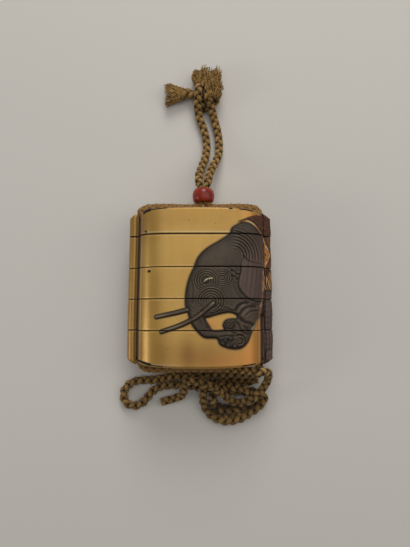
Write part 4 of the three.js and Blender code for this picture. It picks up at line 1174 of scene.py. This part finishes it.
def tierBody(name, bottom, top):       # the outside of one tier, closed by a flat face at each end
    c = caseShape
    rows = rowPlan(bottom, top)
    y, insets, ribInsets, hasRib = (np.array(column) for column in zip(*rows))
    hasRib = hasRib[:, None]
    nf, nb, nw = len(sectionFront), len(sectionBack), len(wallSteps)
    nr, nl = len(sectionRight) + 2 * nw, len(sectionLeft) + 2 * nw
    x, z = np.array([section(*row[1:], bridge) for row, bridge in zip(rows, ramp(*c["bridge"], y))]).swapaxes(0, 1)
    # directions out of the surface, from a ring in the middle of a tier
    ring = np.column_stack(section(0, 0, True))
    ahead = np.roll(ring, -1, axis=0) - np.roll(ring, 1, axis=0)
    out = np.column_stack([ahead[:, 1], -ahead[:, 0]])
    out = out / np.maximum(np.linalg.norm(out, axis=1), 1e-9)[:, None]
    if out[:nf, 1].mean() < 0:
        out = -out
    height = np.zeros(x.shape)
    tones = masks(x.shape, *reliefNames)
    grid = np.repeat(y[:, None], x.shape[1], axis=1)

    def lay(columns, found, tone):
        height[:, columns] = found
        for key in reliefNames:
            if key in tone:
                tones[key][:, columns] = tone[key]

    front = slice(0, nf)
    found, tone = frontRelief(x[:, front], grid[:, front])
    found, tone = saddleCorner(x[:, front], grid[:, front], found, tone)
    fadeEdge = fall(25.9, 26.6, np.abs(x[:, front]))
    lay(front, found * fadeEdge, tone)
    back = slice(nf + nl, nf + nl + nb)
    found, tone = backRelief(x[:, back], grid[:, back])
    lay(back, found * fall(25.4, 26.5, np.abs(x[:, back])), tone)
    right = slice(nf + nl + nb + nw, nf + nl + nb + nr - nw)
    walk = np.hypot(np.diff(ring[right, 0]), np.diff(ring[right, 1]))
    across = np.concatenate([[0], np.cumsum(walk)])[::-1]
    found, tone = ribRelief(np.repeat(across[None, :], len(y), axis=0), grid[:, right])
    lay(right, found * hasRib, {key: value * hasRib for key, value in tone.items()})
    # no relief on the rounding at the ends
    fade = np.repeat(1 - np.minimum(insets / 0.5, 1)[:, None], x.shape[1], axis=1)
    fade[:, right] = 1 - np.minimum(ribInsets / 0.5, 1)[:, None]
    height = height * fade
    x, z = x + out[None, :, 0] * height, z + out[None, :, 1] * height + c["middle"]
    z[:, back] = np.maximum(z[:, back], 0.0)
    walls, ribs = np.zeros(x.shape), np.zeros(x.shape, bool)
    for start, length in ((nf, nl), (nf + nl + nb, nr)):
        walls[:, start:start + nw] = walls[:, start + length - nw:start + length] = 1
        ribs[:, start + nw:start + length - nw] = hasRib
    side = np.abs(x)
    # painted shade: the groove's brown lies on its walls and on the panel's edge where it turns into the groove, with a
    # thin brown line just inside
    shoulder = ramp(24.8, 25.5, side) + 0.45 * bell(side - 24.1, 0.25)
    bridged = ramp(*c["bridge"], grid) * (x > 0) * (z > c["middle"])
    tones["groove"] = np.clip(np.where(ribs, 0.0, np.maximum(walls, shoulder)), 0, 1)
    tones["aged"] = np.where(ribs & (x < 0), 0.4, tones["aged"])
    deepen(tones, "dark", walls * bridged)
    deepen(tones, "cloth", walls * bridged * ramp(-1.2, -0.6, grid))
    deepen(tones, "plum", 0.7 * walls * bridged)
    # painted shade along each parting, darkest at the lid's, with a pale line beside it of rubbed gold and painted
    # highlight, and a painted highlight line on the lid just above its parting
    meeting, rim = np.zeros(x.shape), np.zeros(x.shape)
    for end in (bottom, top):
        if abs(abs(end) - c["half"]) > 0.01:
            reach = 0.34 if abs(end - c["partings"][3]) < 0.5 else 0.22     # the lid's own line is the boldest
            depth = 0.9 if reach > 0.3 else 0.74
            meeting = np.maximum(meeting, depth * fall(reach - 0.1, reach + 0.12, np.abs(grid - end)))
            rim = np.maximum(rim, bell(np.abs(grid - end) - reach - 0.35, 0.22))
            if end == bottom and reach > 0.3:
                tones["glow"] += 0.42 * bell(grid - end - 0.85, 0.22) * (1 - tones["dark"]) * (side < 24)
    # painted shade in the grooves' walls, less where the relief bridges them, and along the partings
    tones["hollow"] = np.clip(np.maximum(np.maximum(tones["hollow"], walls * (0.64 - 0.26 * bridged)), meeting), 0, 1)
    # a pale line down each panel's rounded edge, rubbed gold and painted highlight
    panelEdge = bell(side - 24.6, 0.35) * (np.abs(z - c["middle"]) > 4)
    tones["rim"] = np.clip(np.maximum(rim, 0.6 * panelEdge), 0, 1)
    # painted shade: a brown band over the lid's rounded end dims its highlight, with a darker line along it; a painted
    # highlight runs low on the base's front edge
    facing = np.abs(z - c["middle"]) > 4
    lidEnd = ramp(31.8, 32.2, grid) * facing
    tones["aged"] += 0.6 * lidEnd * (1 - tones["dark"])
    deepen(tones, "hollow", 0.4 * lidEnd * bell(grid - 32.3, 0.2))
    baseHighlight = band(-20.5, -18, -10, -6, x) * facing
    tones["glow"] += 0.4 * baseHighlight * bell(grid + 31.6, 0.22)
    tones["glow"] = np.clip(tones["glow"], 0, 1)
    x, grid = endPlan(x, grid, ribs)
    mesh = ringMesh(name, np.dstack([x, grid, z]))
    for key, values in tones.items():
        store(mesh, key, values)
    return mesh


def prism(levels):                     # a rounded block along the stack, from (place, half width, half thickness)
    turn, power = np.linspace(0, 2 * math.pi, fit["around"], endpoint=False), fit["power"]
    c, s = np.cos(turn), np.sin(turn)
    reach = (np.abs(c) ** power + np.abs(s) ** power) ** (-1 / power)
    return ringMesh("prism", [np.column_stack([wide * c * reach, np.full(len(turn), at),
                                               thick * s * reach + caseShape["middle"]])
                              for at, wide, thick in levels])


def channel(side):                     # a runner's bore through the whole stack
    radius, reach = fit["channelRadius"], caseShape["half"] + 2
    turns = [2 * math.pi * j / fit["channelAround"] for j in range(fit["channelAround"])]
    return ringMesh("channel", [[(side * fit["channelOffset"] + radius * math.cos(t), y,
                                  caseShape["middle"] + radius * math.sin(t)) for t in turns]
                                for y in (-reach, reach)])


def carve(mesh, steps):                # joins and cuts, one after another
    body, tools = addObject("carving", mesh), []
    for operation, toolMesh in steps:
        tools.append(addObject("tool", toolMesh))
        modifier = body.modifiers.new("cut", "BOOLEAN")
        modifier.object, modifier.operation, modifier.solver = tools[-1], operation, "MANIFOLD"
    return evaluated(body, *tools)


def graded(number, *steps):            # a number drawn towards others, each by its own amount
    for amount, other in steps:
        number = between(amount, number, other)
    return number


def lacquerMaterial():
    look = lacquerLook
    material, shader, where = newMaterial("gold and dark lacquer")
    speckle, cloud = grain(where, 3200.0, 42.0)
    fine, patches = grain(where, 1200.0, 160.0)
    stretched = place(where.id_data, "ShaderNodeMapping", {"Vector": where, "Scale": look["streaks"]}).outputs[0]
    streaks = spread(noise(stretched, 1.0, 3.0)[0], 0.3, 0.7)
    mask = {name: attribute(where, name) for name in reliefNames}
    dark, glow, hollow = mask["dark"], mask["glow"], mask["hollow"]
    gold = layered(look["gold"], look, (times(cloud, 0.4), "brownGold"), (times(streaks, 0.16), "paleGold"),
                   (times(speckle, 0.14), "brownGold"), (times(wornAndLit(where, 0.75), 0.9), "paleGold"),
                   *((mask[name], name) for name in ("aged", "blush", "groove", "chip")))
    # crest lays painted highlight on the relief's ridges
    hide = layered(look["dark"], look, (patches, "darkWarm"), (mask["plum"], "plum"),
                   (times(fine, 0.12), "crest"), (times(mask["crest"], 0.55), "crest"))
    cloth = layered(look["cloth"], look, (times(fine, 0.5), "hollow"))
    # glow lays the eye's silver and painted highlights; hollow lays painted shade, and the dark of chips
    skin = layered(gold, look, (dark, hide), (mask["cloth"], cloth), (mask["gilt"], "gilt"), (glow, "silver"),
                   (times(hollow, maths("SUBTRACT", 1.0, glow)), "hollow"))
    metal = graded(0.55, (dark, 0.1), (mask["cloth"], 0.0), (maths("MAXIMUM", mask["gilt"], glow), 0.55),
                   (hollow, 0.0))
    rough = graded(0.34, (dark, 0.5), (mask["cloth"], 0.75), (hollow, 0.85), (times(speckle, 0.25), 0.6))
    fill(shader, {"Base Color": skin, "Metallic": metal, "Roughness": rough, "Specular IOR Level": 0.35,
                  "Coat Weight": between(maths("MAXIMUM", dark, hollow), 0.22, 0.05), "Coat Roughness": 0.22,
                  "Normal": bump(maths("ADD", fine, streaks), 0.12, 0.05)})
    return material


def innerMaterial():                   # dark red lacquer with gold flakes, inside the tiers and where they meet
    look = lacquerLook
    material, shader, where = newMaterial("inner lacquer")
    speckle, cloud = grain(where, 2600.0, 120.0)
    flakes = spread(speckle, 0.72, 0.86)
    skin = layered(look["inner"], look, (cloud, "chip"), (times(flakes, 0.85), "flake"),
                   (wornAndLit(where, 0.5), "brownGold"))
    fill(shader, {"Base Color": skin, "Metallic": times(flakes, 0.7), "Roughness": 0.28, "Coat Weight": 0.4,
                  "Coat Roughness": 0.15, "Normal": bump(cloud, 0.1, 0.05)})
    return material


lacquer, innerLacquer = lacquerMaterial(), innerMaterial()


def dressTier(mesh):      # gives each face its lacquer, and keeps the crisp edges crisp
    mesh.materials.clear()
    for material in (lacquer, innerLacquer):
        mesh.materials.append(material)
    count = len(mesh.polygons)
    centre, normal = np.zeros(count * 3), np.zeros(count * 3)
    mesh.polygons.foreach_get("center", centre)
    mesh.polygons.foreach_get("normal", normal)
    x, y, z = (centre.reshape(-1, 3) / mm).T
    normal = normal.reshape(-1, 3)
    slack, power = fit["clearance"] + 0.05, fit["power"]
    ring = (np.abs(x) / (fit["riserHalfWidth"] + slack)) ** power \
        + (np.abs(z - caseShape["middle"]) / (fit["riserHalfThickness"] + slack)) ** power
    within = (ring < 1) & (np.abs(y) < caseShape["half"] - 0.5)
    joint = (np.abs(normal[:, 1]) > 0.98) & (np.abs(y) < caseShape["ribHalfLength"] - 0.5)
    hole = np.hypot(np.abs(x) - fit["channelOffset"], z - caseShape["middle"]) < fit["channelRadius"] + 0.02
    mesh.polygons.foreach_set("material_index", (within | joint | hole).astype(np.int32))
    mesh.shade_smooth()
    mesh.set_sharp_from_angle(angle=caseShape["sharp"])


def riser(top):                        # the collar that stands up inside the tier above
    wide, thick, high = fit["riserHalfWidth"], fit["riserHalfThickness"], top + fit["riserHeight"]
    return prism([(top - 0.8, wide, thick), (high - 0.25, wide, thick), (high, wide - 0.2, thick - 0.2)])


def hollowOut(low, high):
    wide, thick = fit["hollowHalfWidth"], fit["hollowHalfThickness"]
    return prism([(low, wide - 0.4, thick - 0.4), (low + 0.4, wide, thick), (high - 0.15, wide, thick),
                  (high + 1, wide + 0.2, thick + 0.2)])


def pocket(low, high):                 # takes the riser of the tier below
    wide, thick = fit["riserHalfWidth"] + fit["clearance"], fit["riserHalfThickness"] + fit["clearance"]
    return prism([(low - 1, wide, thick), (high, wide, thick)])


def addTiers():
    c, gap = caseShape, caseShape["gap"] / 2
    partings = c["partings"]
    plans = [("caseLid", "lid", partings[3] + gap, c["half"])]
    for level in (3, 2, 1, 0):
        bottom = partings[level - 1] + gap if level else -c["half"]
        plans.append((f"case{4 - level}", f"case_{4 - level}", bottom, partings[level] - gap))
    for name, node, bottom, top in plans:
        steps = []
        if node == "lid":
            steps.append(("DIFFERENCE", pocket(bottom, top - fit["lidFloor"])))
        else:
            high = top + fit["riserHeight"]
            floor = bottom + fit["baseFloor"] if node == "case_4" else bottom + fit["pocketDepth"] + fit["floor"]
            steps += [("UNION", riser(top)), ("DIFFERENCE", hollowOut(floor, high))]
            if node != "case_4":
                steps.append(("DIFFERENCE", pocket(bottom, bottom + fit["pocketDepth"])))
        steps += [("DIFFERENCE", channel(-1)), ("DIFFERENCE", channel(1))]
        mesh = carve(tierBody(name, bottom, top), steps)
        dressTier(mesh)
        addPiece(name, mesh, "lacquer", node)
        print(name, "triangles", triangles(mesh))


addTiers()
print("case made")


floorLook = {"size": 2.4, "roughness": 0.6, "specular": 0.2, **palette(tone=(206, 202, 195), shade=(190, 184, 176))}
roomLook = {"Color": (0.95, 0.97, 1.0, 1.0), "Strength": 0.17}
lights = (
    {"name": "overhead", "place": (0.10, 0.29, 1.05), "size": 1.3, "power": 3.7, "tint": (1.0, 0.98, 0.95)},
    {"name": "window", "place": (0.05, 0.88, 0.56), "size": 0.5, "power": 4.9, "tint": (1.0, 0.99, 0.97)},
    {"name": "side window", "place": (-0.80, -0.14, 0.33), "size": 0.3, "power": 1.1, "tint": (1.0, 0.98, 0.94)},
    {"name": "low window", "place": (-0.35, -0.75, 0.28), "size": 0.3, "power": 0.05, "tint": (1.0, 0.97, 0.92)},
    {"name": "room", "place": (0.65, 0.10, 0.60), "size": 0.6, "power": 1.0, "tint": (1.0, 0.94, 0.87)},
)


def addStage():
    half = floorLook["size"] / 2
    mesh = bpy.data.meshes.new("floor")
    mesh.from_pydata([(-half, -half, 0), (half, -half, 0), (half, half, 0), (-half, half, 0)], [], [(0, 1, 2, 3)])
    material, shader, where = newMaterial("pale paper")
    paper = layered(floorLook["tone"], floorLook, (times(grain(where, 500.0, 4.0)[1], 0.08), "shade"))
    fill(shader, {"Base Color": paper, "Roughness": floorLook["roughness"],
                  "Specular IOR Level": floorLook["specular"]})
    mesh.materials.append(material)
    floor = addObject("floor", mesh)
    for lamp in lights:
        data = bpy.data.lights.new(lamp["name"], "AREA")
        data.shape, data.size, data.energy, data.color = "DISK", lamp["size"], lamp["power"], lamp["tint"]
        aim(addObject(lamp["name"], data), lamp["place"], (0, 0, 0))
    scene.world = bpy.data.worlds.new("room light")
    scene.world.use_nodes = True
    fill(scene.world.node_tree.nodes["Background"], roomLook)


addStage()
print("stage made")
